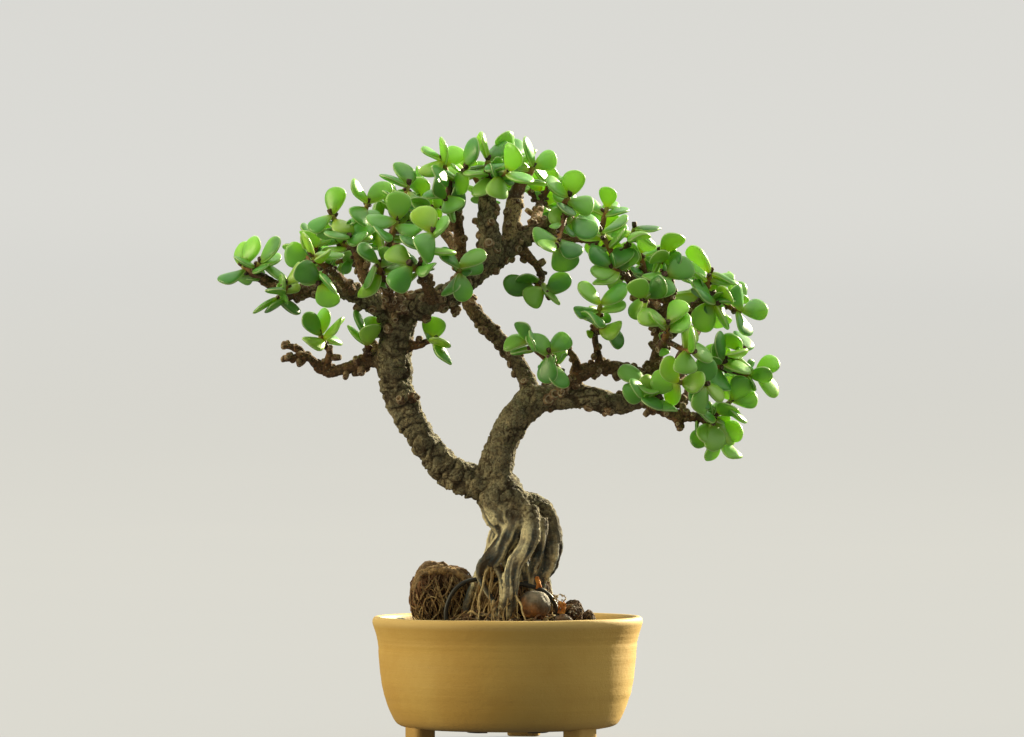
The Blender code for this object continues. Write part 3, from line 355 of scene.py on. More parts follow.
# Leafy sprays as the photograph shows them: the woody branch that carries each, then its shoots,
# each with its tip and the middles of its leaves
SPRAYS = (
    Spray("spray_left_tip", "left_limb", (
        Shoot((242, 265, -3), ((251, 248), (238, 251), (230, 272))),
        Shoot((261, 262, -9), ((273, 252), (276, 270))),
    )),
    Spray("spray_left_under", ((300, 291, -6, 10), (291, 297, -12, 8)), (
        Shoot((277, 298, -14), ((261, 297), (291, 304))),
        Shoot((288, 284, -15), ((297, 272),)),
    )),
    Spray("spray_left_front", ((353, 293, -6, 12), (344, 282, -18, 10), (336, 274, -24, 9)), (
        Shoot((315, 257, -30), ((303, 244), (331, 253))),
        Shoot((322, 284, -33), ((313, 273), (329, 298))),
    )),
    Spray("spray_left_high", ((376, 304, -3, 14), (366, 276, 2, 12), (356, 252, 4, 10)), (
        Shoot((331, 214, 4), ((317, 224), (334, 199), (344, 222))),
        Shoot((368, 202, 2), ((357, 190), (380, 187), (361, 214))),
        Shoot((350, 238, -4), ((340, 232), (362, 230))),
    )),
    Spray("spray_left_mid", ((396, 314, -3, 15), (388, 292, -16, 12), (384, 281, -22, 10)), (
        Shoot((379, 263, -30), ((364, 250), (368, 278), (394, 254))),
        Shoot((398, 221, -25), ((382, 219), (400, 205), (412, 232))),
        Shoot((409, 186, -16), ((396, 177), (411, 167), (422, 200))),
    )),
    Spray("spray_mid_front", ((434, 302, -8, 13), (428, 286, -25, 11), (424, 276, -32, 9)), (
        Shoot((412, 266, -39), ((400, 281), (398, 253))),
        Shoot((434, 234, -37), ((425, 246), (427, 221), (450, 218))),
    )),
    Spray("spray_arm_front", ((463, 287, -8, 12), (461, 279, -22, 9)), (
        Shoot((460, 269, -31), ((447, 260), (472, 256), (468, 284))),
    )),
    Spray("spray_top_left", "back_arm", (
        Shoot((443, 160, -4), ((432, 168), (430, 150), (449, 141), (456, 152))),
        Shoot((466, 168, -9), ((473, 153), (460, 184), (478, 178))),
        Shoot((446, 200, -10), ((436, 190), (455, 208))),
    )),
    Spray("spray_top_stem", ((491, 260, -6, 24), (490, 236, -8, 22), (487, 212, -8, 21),
                             (488, 192, -8, 17)), (
        Shoot((488, 160, -9), ((478, 146), (497, 150), (494, 169))),
        Shoot((508, 172, -21), ((513, 160), (503, 185), (524, 184))),
    )),
    Spray("spray_top_pale", ((511, 247, -3, 22), (512, 220, -1, 18), (515, 198, 0, 17)), (
        Shoot((534, 166, 0), ((531, 148), (547, 163), (521, 158))),
        Shoot((513, 156, 2), ((505, 142), (519, 143))),
    )),
    Spray("spray_top_right", "high_arm", (
        Shoot((569, 196, -5), ((556, 188), (574, 183), (583, 203))),
        Shoot((575, 222, -9), ((558, 214), (588, 213), (587, 235))),
        Shoot((556, 246, -23), ((546, 247), (565, 262))),
    )),
    Spray("spray_rise_left", "rise", (
        Shoot((601, 232, -7), ((614, 224), (612, 241), (590, 222))),
        Shoot((611, 268, -15), ((601, 254), (621, 258), (600, 276))),
        Shoot((634, 228, -8), ((649, 225), (648, 240))),
    )),
    Spray("spray_rise_mid", ((660, 336, -5, 12), (667, 306, -6, 11), (670, 286, -7, 9)), (
        Shoot((660, 252, -8), ((671, 245), (650, 268))),
        Shoot((664, 276, -16), ((663, 289), (680, 269))),
        Shoot((642, 300, -26), ((637, 288), (653, 294))),
    )),
    Spray("spray_rise_right", ((659, 344, -6, 13), (682, 322, -5, 11), (698, 304, -4, 9)), (
        Shoot((710, 272, -5), ((698, 256), (728, 272))),
        Shoot((716, 304, -10), ((711, 290), (722, 317), (701, 320))),
        Shoot((742, 312, -4), ((742, 297), (757, 308), (743, 328))),
    )),
    Spray("spray_rise_front", ((656, 356, -7, 12), (662, 345, -22, 10)), (
        Shoot((666, 324, -34), ((653, 314), (678, 308))),
        Shoot((690, 352, -33), ((687, 340), (704, 349))),
    )),
    Spray("spray_side_end", "side", (
        Shoot((722, 363, -13), ((717, 347), (740, 371))),
        Shoot((742, 350, -6), ((731, 345), (747, 340))),
        Shoot((757, 374, -3), ((764, 361), (766, 385))),
    )),
    Spray("spray_side_low", ((680, 369, -8, 11), (683, 378, -19, 9)), (
        Shoot((676, 382, -29), ((668, 371), (672, 393))),
        Shoot((703, 384, -27), ((701, 395), (719, 385))),
    )),
    Spray("spray_droop_end", "droop", (
        Shoot((720, 438, -8), ((733, 456), (708, 453), (697, 437), (738, 429))),
        Shoot((731, 400, -6), ((739, 389), (749, 396), (735, 412))),
        Shoot((715, 420, -14), ((711, 410), (724, 418))),
    )),
    Spray("spray_droop_root", ((656, 407, -8, 11), (657, 402, -15, 9)), (
        Shoot((658, 398, -26), ((650, 406),)),
        Shoot((641, 384, -25), ((633, 389), (632, 372))),
    )),
    Spray("spray_inner", ((566, 384, -8, 10), (560, 374, -18, 9)), (
        Shoot((549, 352, -27), ((546, 369), (560, 339), (541, 338))),
        Shoot((528, 342, -25), ((524, 329), (516, 342))),
    )),
    Spray("spray_knuckle", ((600, 369, -9, 10), (597, 352, -10, 8), (595, 342, -11, 7)), (
        Shoot((600, 304, -22), ((585, 287), (616, 299))),
        Shoot((604, 326, -20), ((595, 318), (616, 334))),
    )),
    Spray("spray_low_left", ((325, 371, 4, 10), (330, 352, 2, 8), (326, 346, 1, 7)), (
        Shoot((320, 334, 0), ((308, 320), (319, 320), (338, 325))),
    )),
    Spray("spray_low_spur", ((362, 366, 4, 9), (367, 352, 0, 7)), (
        Shoot((366, 336, -3), ((357, 322), (379, 335))),
    )),
    Spray("spray_trunk", ((400, 346, 0, 14), (418, 345, -4, 9), (426, 342, -5, 7)), (
        Shoot((435, 339, -7), ((446, 355),)),
    )),
    Spray("spray_hang", ((518, 246, -3, 14), (534, 262, -4, 9), (541, 274, -4, 8)), (
        Shoot((534, 290, -6), ((517, 287),)),
        Shoot((548, 296, -8), ((558, 281),)),
    )),
)

# Sprays at the back of the crown: the branch, how many shoots, and how wide they fan in degrees
WILD_SPRAYS = (
    Wild("spray_back_far_left", ((330, 290, -5, 12), (322, 280, 10, 10), (314, 268, 22, 9)), 3, 50),
    Wild("spray_back_left", ((384, 308, -1, 15), (368, 286, 16, 12), (356, 262, 30, 9)), 4, 55),
    Wild("spray_back_left_high", ((402, 312, 0, 16), (398, 270, 14, 12), (394, 236, 24, 10)), 4, 55),
    Wild("spray_back_mid", ((464, 264, 12, 13), (448, 236, 26, 11), (436, 220, 36, 9)), 4, 60),
    Wild("spray_back_top", ((484, 266, -4, 15), (484, 232, 14, 12), (486, 204, 26, 10)), 4, 60),
    Wild("spray_back_top_right", ((530, 235, -2, 14), (536, 218, 16, 11), (540, 206, 30, 9)), 4, 60),
    Wild("spray_back_right_high", ((544, 229, 0, 13), (574, 236, 12, 11), (594, 238, 26, 9)), 4, 55),
    Wild("spray_back_right", ((660, 338, -5, 12), (656, 306, 12, 11), (650, 284, 26, 9)), 4, 60),
    Wild("spray_back_far_right", ((672, 373, -7, 12), (690, 342, 10, 11), (704, 320, 22, 9)), 4, 55),
    Wild("spray_back_low_right", ((664, 411, -8, 11), (688, 396, 8, 10), (706, 386, 18, 8)), 3, 50),
)
EVERY_SPRAY = SPRAYS + WILD_SPRAYS


def seen(column, row, depth=0.0):
    """The point, in mm from the pot's axis, that the photograph shows at a column and row."""
    return Vector(((column - AXIS_COLUMN) * MM_PER_PIXEL, depth, (FLOOR_ROW - row) * MM_PER_PIXEL))


def between(points, share):
    """A point of the smooth curve through the points, at a share of its length from 0 to 1."""
    place = share * (len(points) - 1)
    index = min(int(place), len(points) - 2)
    t = place - index
    p1, p2 = points[index], points[index + 1]
    p0 = points[index - 1] if index else p1 * 2 - p2
    p3 = points[index + 2] if index + 2 < len(points) else p2 * 2 - p1
    bend = p0 * 2 - p1 * 5 + p2 * 4 - p3
    twist = p1 * 3 - p0 - p2 * 3 + p3
    return (p1 * 2 + (p2 - p0) * t + bend * t * t + twist * t * t * t) / 2


def length_of(points):
    return sum((b.to_3d() - a.to_3d()).length for a, b in zip(points, points[1:]))


def smooth_path(points, spacing):
    """Points of (x, y, z, radius) about a spacing apart along the smooth curve through these."""
    count = max(len(points) - 1, round(length_of(points) / spacing))
    return [between(points, step / count) for step in range(count + 1)]


def limb_points(rows):
    return [Vector((*seen(c, r, d), thick * MM_PER_PIXEL / 2)) for c, r, d, thick in rows]


def way_to(behind, ahead):
    """The direction from one point of a path to the next."""
    return (ahead - behind).to_3d().normalized()


def shift(draw, spread):
    """A random step, with no favoured direction."""
    return Vector([draw.gauss(0, spread) for _ in range(3)])


def square_to(along, angle):
    """A direction square to another, turned about it by an angle."""
    return Quaternion(along, angle) @ along.orthogonal().normalized()


def frames_along(path, grow, leaving=None):
    """A matrix for each ring, which takes a unit circle to its place square to the path."""
    frames = []
    side = None
    for index, point in enumerate(path):
        ahead = path[min(index + 1, len(path) - 1)].to_3d()
        behind = path[max(index - 1, 0)].to_3d()
        along = leaving if leaving and not index else (ahead - behind).normalized()
        side = side or (Vector((0, 1, 0)) if abs(along.y) < 0.9 else Vector((1, 0, 0)))
        side = (side - along * side.dot(along)).normalized()
        radius = point.w + grow
        turn = Matrix((side * radius, along.cross(side) * radius, along)).transposed().to_4x4()
        frames.append(Matrix.Translation(point.to_3d()) @ turn)
    return frames


def add_tube(bm, path, sides, grow=0.0, relief=0.0, grain=5.0, leaving=None):
    """Adds a closed tube of rings square to a path of (x, y, z, radius); returns its rings."""
    ring = bmesh.ops.create_circle(bm, segments=sides, radius=1.0)["verts"]
    edges = list({edge for vert in ring for edge in vert.link_edges})
    ends = [edges]
    frames = frames_along(path, grow, leaving)
    bmesh.ops.transform(bm, matrix=frames[0], verts=ring)
    rings = [ring]
    skin = []
    for before, after in zip(frames, frames[1:]):
        made = bmesh.ops.extrude_edge_only(bm, edges=edges)["geom"]
        ring = [item for item in made if isinstance(item, bmesh.types.BMVert)]
        edges = [item for item in made if isinstance(item, bmesh.types.BMEdge)]
        edges = [edge for edge in edges if set(edge.verts) <= set(ring)]
        skin += [item for item in made if isinstance(item, bmesh.types.BMFace)]
        bmesh.ops.transform(bm, matrix=after @ before.inverted(), verts=ring)
        rings.append(ring)
    for ring, point in zip(rings, path):
        centre = point.to_3d()
        for vert in ring:
            vert.co = centre + (vert.co - centre) * (1 + relief * noise.noise(vert.co / grain))
    caps = bmesh.ops.holes_fill(bm, edges=ends[0] + edges, sides=sides)["faces"]
    bmesh.ops.recalc_face_normals(bm, faces=skin + caps)
    return rings


def tube(path, sides, grow=0.0, relief=0.0, grain=5.0, leaving=None):
    bm = bmesh.new()
    add_tube(bm, path, sides, grow, relief, grain, leaving)
    return bm


def coarse_path(points):
    return smooth_path(points, max(5.0, 1.25 * max(point.w for point in points)))


def coarse_wood(points, relief=LIMB_RELIEF):
    """A limb as the solids have it, which leaves are laid clear of."""
    radius = max(point.w for point in points)
    sides = 8 if radius > THICK_LIMB else 6 if radius > THIN_LIMB else 5
    return tube(coarse_path(points), sides, relief=relief)


def seat_of(points):
    """The place, direction and radius where a spray begins, just past a branch's flat end."""
    before, end = (point.to_3d() for point in coarse_path(points)[-2:])
    along = (end - before).normalized()
    return end + along * GAP, along, points[-1].w


def fan(tip, along, count, spread, draw):
    """Tips and directions of shoots that fan out round a branch's direction."""
    start = draw.uniform(0, 2 * math.pi)
    for number in range(count):
        lean = math.radians(spread) * (0.55 + 0.45 * (number % 2)) if number else math.radians(8)
        away = square_to(along, start + number * GOLDEN_TURN)
        heading = (along * math.cos(lean) + away * math.sin(lean) + Vector((0, 0, 0.25))).normalized()
        yield tip + heading * draw.uniform(*SHOOT_LENGTH), heading


def leaf_probe(matrix, size, start):
    """A leaf's room: a six-sided lens, a little swollen, from a share of its length onwards."""
    bm = bmesh.new()
    bmesh.ops.create_uvsphere(bm, u_segments=LEAF_SIDES, v_segments=2, radius=1.0)
    length, width, thick = (value * size for value in (LEAF_LENGTH, LEAF_WIDTH, LEAF_THICKNESS))
    for vert in bm.verts:
        along = (1 + vert.co.x) / 2
        reach = start + (1 - start) * along
        broad = vert.co.y * width / 2 * (0.68 + 0.58 * along) * PROBE_SWELL
        raised = vert.co.z * thick / 2 * PROBE_SWELL
        cup = 0.10 * length * reach * reach
        vert.co = Vector((reach * length - LEAF_SINK, broad, raised + cup))
    bmesh.ops.transform(bm, matrix=matrix, verts=bm.verts[:])
    tree = BVHTree.FromBMesh(bm)
    bm.free()
    return tree


def leaf_matrix(root, heading, face):
    """Places a leaf: its length along the heading, its upper face towards face."""
    face = (face - heading * face.dot(heading)).normalized()
    across = face.cross(heading)
    turn = Matrix((heading, across, face)).transposed().to_4x4()
    return Matrix.Translation(root) @ turn


class Crown:
    """Everything placed so far, so that a new leaf is laid clear of it."""

    def __init__(self):
        self.solids = []
        self.blades = []

    def add_solid(self, owner, bm):
        self.solids.append((owner, BVHTree.FromBMesh(bm)))

    def stems_clear(self, owner, stems):
        trees = [BVHTree.FromBMesh(stem) for stem in stems]
        return not any(tree.overlap(solid) for tree in trees
                       for other, solid in self.solids if other != owner)

    def clear(self, owner, matrix, size):
        """Tests a whole leaf against other pieces, and all but its root against its own."""
        whole, outer = (leaf_probe(matrix, size, start) for start in (ROOT_START, PROBE_START))
        middle = matrix @ Vector((LEAF_LENGTH * size / 2, 0, 0))
        if any(other != owner and whole.overlap(tree) for other, tree in self.solids):
            return False
        for other, place, other_whole, other_outer in self.blades:
            if (place - middle).length > 1.5 * LEAF_LENGTH:
                continue
            if other == owner and outer.overlap(other_outer):
                return False
            if other != owner and whole.overlap(other_whole):
                return False
        self.blades.append((owner, middle, whole, outer))
        return True


def lay_leaf(crown, owner, root, heading, face, size, draw, tries=LEAF_TRIES):
    """A leaf as asked, or turned a little further at each try until it is clear; None if never."""
    for attempt in range(tries):
        axis = shift(draw, 1).normalized()
        turn = Quaternion(axis, attempt * TRY_STEP * draw.uniform(0.6, 1.0))
        matrix = leaf_matrix(root, (turn @ heading).normalized(), turn @ face)
        if crown.clear(owner, matrix, size):
            return Placed(matrix, size)
    return None


def seen_leaf(root, middle, size, nearer):
    """The heading of a leaf whose middle the photograph shows, its hidden reach in depth."""
    flat = middle - root
    flat.y = 0
    half = LEAF_LENGTH * size / 2
    if flat.length > half * 0.98:
        flat = flat.normalized() * half * 0.98
    depth = math.sqrt(half * half - flat.length_squared)
    return Vector((flat.x, -depth if nearer else depth, flat.z)).normalized()


def twig(start, along, tip, heading, thick):
    """A twig's centre line from its seat to its tip, leaving along one way, arriving another."""
    reach = (tip - start).length
    first = start + along * reach * TWIG_LEAVING
    last = tip - heading * reach * TWIG_ARRIVING
    points = []
    for step in range(5):
        t = step / 4
        spot = (start * (1 - t) ** 3 + first * 3 * t * (1 - t) ** 2
                + last * 3 * t * t * (1 - t) + tip * t ** 3)
        points.append(Vector((*spot, thick + (TWIG_TIP - thick) * t)))
    return points


def shoots_of(spray, seat, along, draw):
    """The shoots of a spray as (tip, heading, leaf middles), whether seen or at the back."""
    if isinstance(spray, Wild):
        fanned = fan(seat, along, spray.shoots, spray.spread, draw)
        return [(tip, heading, ()) for tip, heading in fanned]
    found = []
    for shoot in spray.shoots:
        tip = seen(*shoot.tip)
        heading = ((tip - seat).normalized() + Vector((0, -0.1, 0.35))).normalized()
        found.append((tip, heading, shoot.leaves))
    return found


def twigs_of(shoots, seat, along, thick):
    """Centre lines: the first shoot from the seat, the others forking from its lower half."""
    lines = []
    for number, (tip, heading, _) in enumerate(shoots):
        if number == 0:
            lines.append(twig(seat, along, tip, heading, thick))
            continue
        clear_of_seat = FORK_CLEAR / (shoots[0][0] - seat).length
        share = min(0.8, max(clear_of_seat, 0.22 + 0.16 * ((number - 1) % 2)))
        fork = between(lines[0], share).to_3d()
        way = ((tip - fork).normalized() * 0.6 + along * 0.4).normalized()
        lines.append(twig(fork, way, tip, heading, TWIG_FOOT))
    return lines


def lay_stems(crown, spray, seat, along, thick, draw):
    """The shoots and stems of a spray, its tips nudged further at each try until all is clear."""
    planned = shoots_of(spray, seat, along, draw)
    for attempt in range(STEM_TRIES):
        nudge = attempt * STEM_STEP
        shoots = [(tip + shift(draw, nudge), heading, middles) for tip, heading, middles in planned]
        lines = twigs_of(shoots, seat, along, thick)
        stems = [tube(smooth_path(line, COARSE_STEP), TWIG_SIDES, relief=TWIG_RELIEF, grain=3.0,
                      leaving=along if line is lines[0] else None) for line in lines]
        if crown.stems_clear(spray.name, stems):
            break
    for stem in stems:
        crown.add_solid(spray.name, stem)
    return shoots, lines


def below_tip(line, distance):
    """The point of a twig's centre line a distance back from its tip, clear of its foot."""
    return between(line, max(0.4, 1 - distance / length_of(line))).to_3d()


def leaves_of(spray, shoots, lines, crown, draw):
    """The leaves of a spray: those seen, then opposite pairs down each shoot, each turned a quarter."""
    made = []
    for (_, heading, middles), line in zip(shoots, lines):
        for number, (column, row) in enumerate(middles):
            root = below_tip(line, 0.6 + 2.4 * (number // 2))
            size = draw.uniform(0.92, 1.08)
            way = seen_leaf(root, seen(column, row), size, nearer=number % 2 == 0)
            face = heading + Vector((0, -0.35, 0.45))
            made.append(lay_leaf(crown, spray.name, root, way, face, size, draw))
        pairs = 1 if middles else 2
        first = (len(middles) + 1) // 2
        quarter = draw.uniform(0, math.pi)
        for pair in range(first, first + pairs):
            root = below_tip(line, 0.6 + PAIR_SPACING * pair)
            lean = math.radians(48 + 16 * min(pair, 2))
            for half in (0, math.pi):
                out = square_to(heading, quarter + pair * math.pi / 2 + half)
                way = (heading * math.cos(lean) + out * math.sin(lean)).normalized()
                size = draw.uniform(0.86, 1.04) * (0.8 if pair == 0 else 1.0)
                made.append(lay_leaf(crown, spray.name, root, way, heading, size, draw))
    return [leaf for leaf in made if leaf]


def lay_plant():
    """Lays the whole plant as the solids have it: its branches, then each spray's stems and leaves."""
    limbs = {limb.name: limb.points for limb in LIMBS}
    crown = Crown()
    for limb in LIMBS + ROOTS:
        crown.add_solid("trunk", coarse_wood(limb_points(limb.points)))
    seats = {}
    branches = []
    for spray in EVERY_SPRAY:
        if isinstance(spray.branch, str):
            points = limb_points(limbs[spray.branch])
        else:
            points = limb_points(spray.branch)
            branches.append((spray.name, points))
            crown.add_solid("trunk", coarse_wood(points, 0.10))
        seats[spray.name] = seat_of(points)
    draw = random.Random(SEED)
    stems = {spray.name: lay_stems(crown, spray, *seats[spray.name], draw) for spray in EVERY_SPRAY}
    leaves = {spray.name: leaves_of(spray, *stems[spray.name], crown, draw) for spray in EVERY_SPRAY}
    return branches, seats, stems, leaves


def join(bm, other):
    """Adds another shape to this one and frees it."""
    mesh = bpy.data.meshes.new("part")
    other.to_mesh(mesh)
    other.free()
    bm.from_mesh(mesh)
    bpy.data.meshes.remove(mesh)


def gather(shapes, batch=24):
    """Many small shapes as one, joined batch by batch, which is far quicker than one by one."""
    shapes = list(shapes)
    while len(shapes) > 1:
        groups = [shapes[start:start + batch] for start in range(0, len(shapes), batch)]
        shapes = []
        for first, *rest in groups:
            for other in rest:
                join(first, other)
            shapes.append(first)
    return shapes[0]


def linked(name, data):
    """A new object in the scene."""
    obj = bpy.data.objects.new(name, data)
    bpy.context.scene.collection.objects.link(obj)
    return obj


def object_of(name, bm):
    """A bare object in millimetres, for modifiers to work on."""
    mesh = bpy.data.meshes.new(name)
    bm.to_mesh(mesh)
    bm.free()
    return linked(name, mesh)


def bake(obj):
    """Applies an object's modifiers."""
    graph = bpy.context.evaluated_depsgraph_get()
    mesh = bpy.data.meshes.new_from_object(obj.evaluated_get(graph))
    obj.modifiers.clear()
    obj.data = mesh


def fuse(name, shapes, operation="UNION"):
    """One Boolean joins the first shape with the rest, or cuts the rest from it."""
    body = object_of(name, shapes[0])
    rest = bpy.data.collections.new(name + " rest")
    bpy.context.scene.collection.children.link(rest)
    for number, shape in enumerate(shapes[1:]):
        extra = object_of(f"{name} {number}", shape)
        bpy.context.scene.collection.objects.unlink(extra)
        rest.objects.link(extra)
    cut = body.modifiers.new("join", "BOOLEAN")
    cut.operation = operation
    cut.operand_type = "COLLECTION"
    cut.collection = rest
    bake(body)
    for extra in list(rest.objects):
        bpy.data.objects.remove(extra, do_unlink=True)
    bpy.data.collections.remove(rest)
    return body


def settle(obj, finishes, slot, nodes=(), sharp=None):
    """Puts a finished object in millimetres in its place in the frame, dressed and riding.

    Finishes are named as in FINISH, and sharp is the angle in degrees from which edges stay sharp.
    """
    obj.data.transform(TO_FRAME)
    for finish in finishes:
        obj.data.materials.append(FINISH[finish])
    obj.data.shade_smooth()
    if sharp:
        obj.data.set_sharp_from_angle(angle=math.radians(sharp))
    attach(obj, "root")
    if nodes:
        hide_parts(*nodes)
    return obj


def round_off(obj):
    """A live subdivision that rounds a finished piece."""
    rounded = obj.modifiers.new("round", "SUBSURF")
    rounded.levels = 1
    rounded.render_levels = 1
    return obj


def ramp(value, low, high):
    """0 below low, 1 above high, and smooth between."""
    t = min(1.0, max(0.0, (value - low) / (high - low)))
    return t * t * (3 - 2 * t)


def set_values(mesh, name, values):
    attribute = mesh.attributes.new(name, "FLOAT", "POINT")
    attribute.data.foreach_set("value", values)


class WoodGrain:
    """Where a point lies on the wood: how far along its strand, which way round, and how thick."""

    def __init__(self, strands):
        self.samples = []
        for number, strand in enumerate(strands):
            along = 0.0
            path = strand.path
            for index, turn in enumerate(frames_along(path, 0.0)):
                centre = path[index].to_3d()
                if index:
                    along += (centre - path[index - 1].to_3d()).length
                side, up, ahead = (turn.to_3x3().col[axis].normalized() for axis in range(3))
                self.samples.append((centre, side, up, ahead, along, path[index].w, number, strand))
        self.tree = kdtree.KDTree(len(self.samples))
        for index, sample in enumerate(self.samples):
            self.tree.insert(sample[0], index)
        self.tree.balance()

    def at(self, place):
        near = self.tree.find_n(place, 8)
        best = min(near, key=lambda found: found[2] / self.samples[found[1]][5])
        centre, side, up, ahead, along, radius, number, strand = self.samples[best[1]]
        off = place - centre
        local = Vector((off.dot(side), off.dot(up), along + off.dot(ahead) + 31.0 * number))
        return local, radius, strand


def bark_relief(place, normal, local, radius, blocky):
    """Scaly bark: how far it stands out at a point, in mm, and how open its cracks are there, which the
    finish darkens partly as the wood's own dark and partly as painted shade.
    """
    warp = noise.noise(place / 6.0)
    girth = min(1.0, radius / 5.0)
    wide, tall = 3.0 + 1.6 * blocky, 3.8 - 1.0 * blocky
    plate = Vector((local.x / wide, local.y / wide, (local.z + 2.2 * warp) / tall))
    near, far = noise.voronoi(plate)[0][:2]
    kept = 0.35 + 0.65 * ramp(noise.noise(place / 7.0 + Vector((9, 0, 0))), -0.3, 0.3)
    open_crack = (1 - ramp(far - near, 0.0, 0.24)) * kept
    phase = (local.z + 3.2 * warp) / 5.4
    groove = (1 - ramp(abs(phase - round(phase)) * 2, 0.0, 0.34)) * blocky
    lumps = noise.noise(place / 5.4) * (0.7 + 0.9 * blocky) + noise.noise(place / 2.4) * 0.38
    fine = noise.noise(place / 1.1) * 0.20 + noise.noise(place / 0.55) * 0.10
    torn = ramp(-normal.z, 0.2, 0.9) * abs(noise.noise(place / 1.7)) * 1.1
    out = (lumps + torn - 0.50 * open_crack - 0.95 * groove) * girth + fine + 0.05
    return out, max(open_crack, groove * 0.7)


def root_relief(place, local, radius):
    """Ropy roots: long ridges that run with the root, and a few knots.

    It also gives the painted shade for their creases and the painted light that is brightest on their
    ridges.
    """
    girth = min(1.0, radius / 4.0)
    twist = local.z * 0.035
    turned = Vector((local.x * math.cos(twist) - local.y * math.sin(twist),
                     local.x * math.sin(twist) + local.y * math.cos(twist), local.z * 0.05))
    ridge = noise.noise(turned * 0.36)
    thread = noise.noise(Vector((turned.x * 1.1, turned.y * 1.1, local.z * 0.10)))
    knot = noise.noise(place / 4.4)
    wrinkle = noise.noise(Vector((turned.x * 0.5, turned.y * 0.5, local.z * 0.9)))
    flake = noise.noise(place / 1.5)
    out = (1.25 * ridge + 0.50 * thread + 0.75 * knot + 0.22 * wrinkle) * girth
    out += 0.16 * flake + 0.10 * noise.noise(place / 0.6)
    # Painted shade in the creases: the low places between ridges, knots and flakes
    crease_shade = max(ramp(-ridge, 0.14, 0.45), 0.8 * ramp(-knot, 0.3, 0.6), 0.7 * ramp(-flake, 0.35, 0.6))
    # Painted light and shade on the roots: lighter on the ridges, threads and knots, darker in the
    # hollows
    streak = 0.42 + 1.7 * ridge + 0.6 * thread + 0.5 * knot + 0.25 * wrinkle
    return out, 0.7 * crease_shade, streak


def drop_scraps(mesh):
    """Keeps the largest body of a mesh."""
    bm = bmesh.new()
    bm.from_mesh(mesh)
    left = set(bm.verts)
    bodies = []
    while left:
        edge = [left.pop()]
        body = list(edge)
        while edge:
            near = {link.other_vert(vert) for vert in edge for link in vert.link_edges} & left
            left -= near
            edge = list(near)
            body += edge
        bodies.append(body)
    bodies.sort(key=len)
    bmesh.ops.delete(bm, geom=[vert for body in bodies[:-1] for vert in body], context="VERTS")
    bm.to_mesh(mesh)
    bm.free()


def grown_strands(branches):
    """Every limb, root and twig foot as a fine centre line."""
    grown = [(limb.name, limb_points(limb.points), False) for limb in LIMBS]
    grown += [(root.name, limb_points(root.points), True) for root in ROOTS + (HEART_ROOT,)]
    grown += [(name, points, False) for name, points in branches]
    return [Strand(name, smooth_path(points, WOOD_STEP), rooty) for name, points, rooty in grown]


def fused_wood(strands):
    """All the strands as one softened body."""
    tubes = []
    for strand in strands:
        radius = max(point.w for point in strand.path)
        tubes.append(tube(strand.path, 16 if radius > THICK_LIMB else 12, relief=LIMB_RELIEF))
    obj = object_of("barked_wood", gather(tubes))
    remesh = obj.modifiers.new("fuse", "REMESH")
    remesh.mode = "VOXEL"
    remesh.voxel_size = BARK_VOXEL
    soften = obj.modifiers.new("soften", "SMOOTH")
    soften.factor = 0.5
    soften.iterations = BARK_SOFTENING
    bake(obj)
    obj.data.name = "barked_wood"
    drop_scraps(obj.data)
    return obj


def grow_bark(mesh, strands):
    """Pushes the bark's and the roots' relief out of the wood, and keeps what the finish reads."""
    grain = WoodGrain(strands)
    crown_foot = seen(*ROOT_CROWN).z
    found = {name: [] for name in ("crack", "girth", "rooty", "streak", "pale")}
    spots = [(vert.co.copy(), vert.normal.copy()) for vert in mesh.vertices]
    for vert, (place, normal) in zip(mesh.vertices, spots):
        local, radius, strand = grain.at(place)
        lower = 1 - ramp(place.z + 0.35 * place.x, crown_foot - 12, crown_foot + 5)
        rooty = lower if strand.rooty or strand.name == "stock" else 0.0
        pale = 1.0 if strand.name == PALE_STEM else 0.0
        barky, crack = bark_relief(place, normal, local, radius, BLOCKY.get(strand.name, 0.3))
        ropy, crease_shade, streak = root_relief(place, local, radius)
        smoothed = 1 - 0.7 * pale
        vert.co = place + normal * (barky * (1 - rooty) * smoothed + ropy * rooty)
        found["crack"].append(crack * (1 - rooty) * smoothed + crease_shade * rooty)
        found["girth"].append(radius)
        found["rooty"].append(rooty)
        # Each root's painted light and shade, shifted lighter or darker by whether it stands in light or
        # shade
        found["streak"].append(streak + ROOT_LIGHT_SHIFT.get(strand.name, 0.0))
        found["pale"].append(pale)
    for name, values in found.items():
        set_values(mesh, name, values)


def build_trunk(branches):
    """The grown wood: every limb, root and twig foot fused, softened, and given its bark."""
    strands = grown_strands(branches)
    wood = fused_wood(strands)
    grow_bark(wood.data, strands)
    settle(wood, ("bark",), "bark", ("trunk",))
    return wood, strands


def mark(verts, layer, value):
    for vert in verts:
        vert[layer] = value


def peg(bm, foot, axis, radii, height, sunk=0.0, sides=8):
    """A tapered peg that stands on its foot, sunk by a part; returns its faces and its end face."""
    turn = axis.to_track_quat("Z", "Y").to_matrix().to_4x4()
    matrix = Matrix.Translation(foot + axis * (height - sunk) / 2) @ turn
    made = bmesh.ops.create_cone(bm, cap_ends=True, segments=sides, radius1=radii[0], radius2=radii[1],
                                 depth=height + sunk, matrix=matrix)["verts"]
    faces = {face for vert in made for face in vert.link_faces}
    return faces, max(faces, key=lambda face: face.calc_center_median().dot(axis))


def knob(bm, rim, foot, axis, radius, height, sides=8):
    """A leaf scar: a short stub with a sunken end, whose rim is marked for its pale ring."""
    _, end = peg(bm, foot, axis, (radius * 1.25, radius * 0.95), height, height * KNOB_FOOT, sides)
    mark(end.verts, rim, 0.35)
    bmesh.ops.inset_region(bm, faces=[end], thickness=radius * 0.36, depth=radius * 0.22)
    mark(end.verts, rim, 1.0)
    bmesh.ops.inset_region(bm, faces=[end], thickness=radius * 0.26, depth=-radius * 0.24)
    mark(end.verts, rim, 0.0)


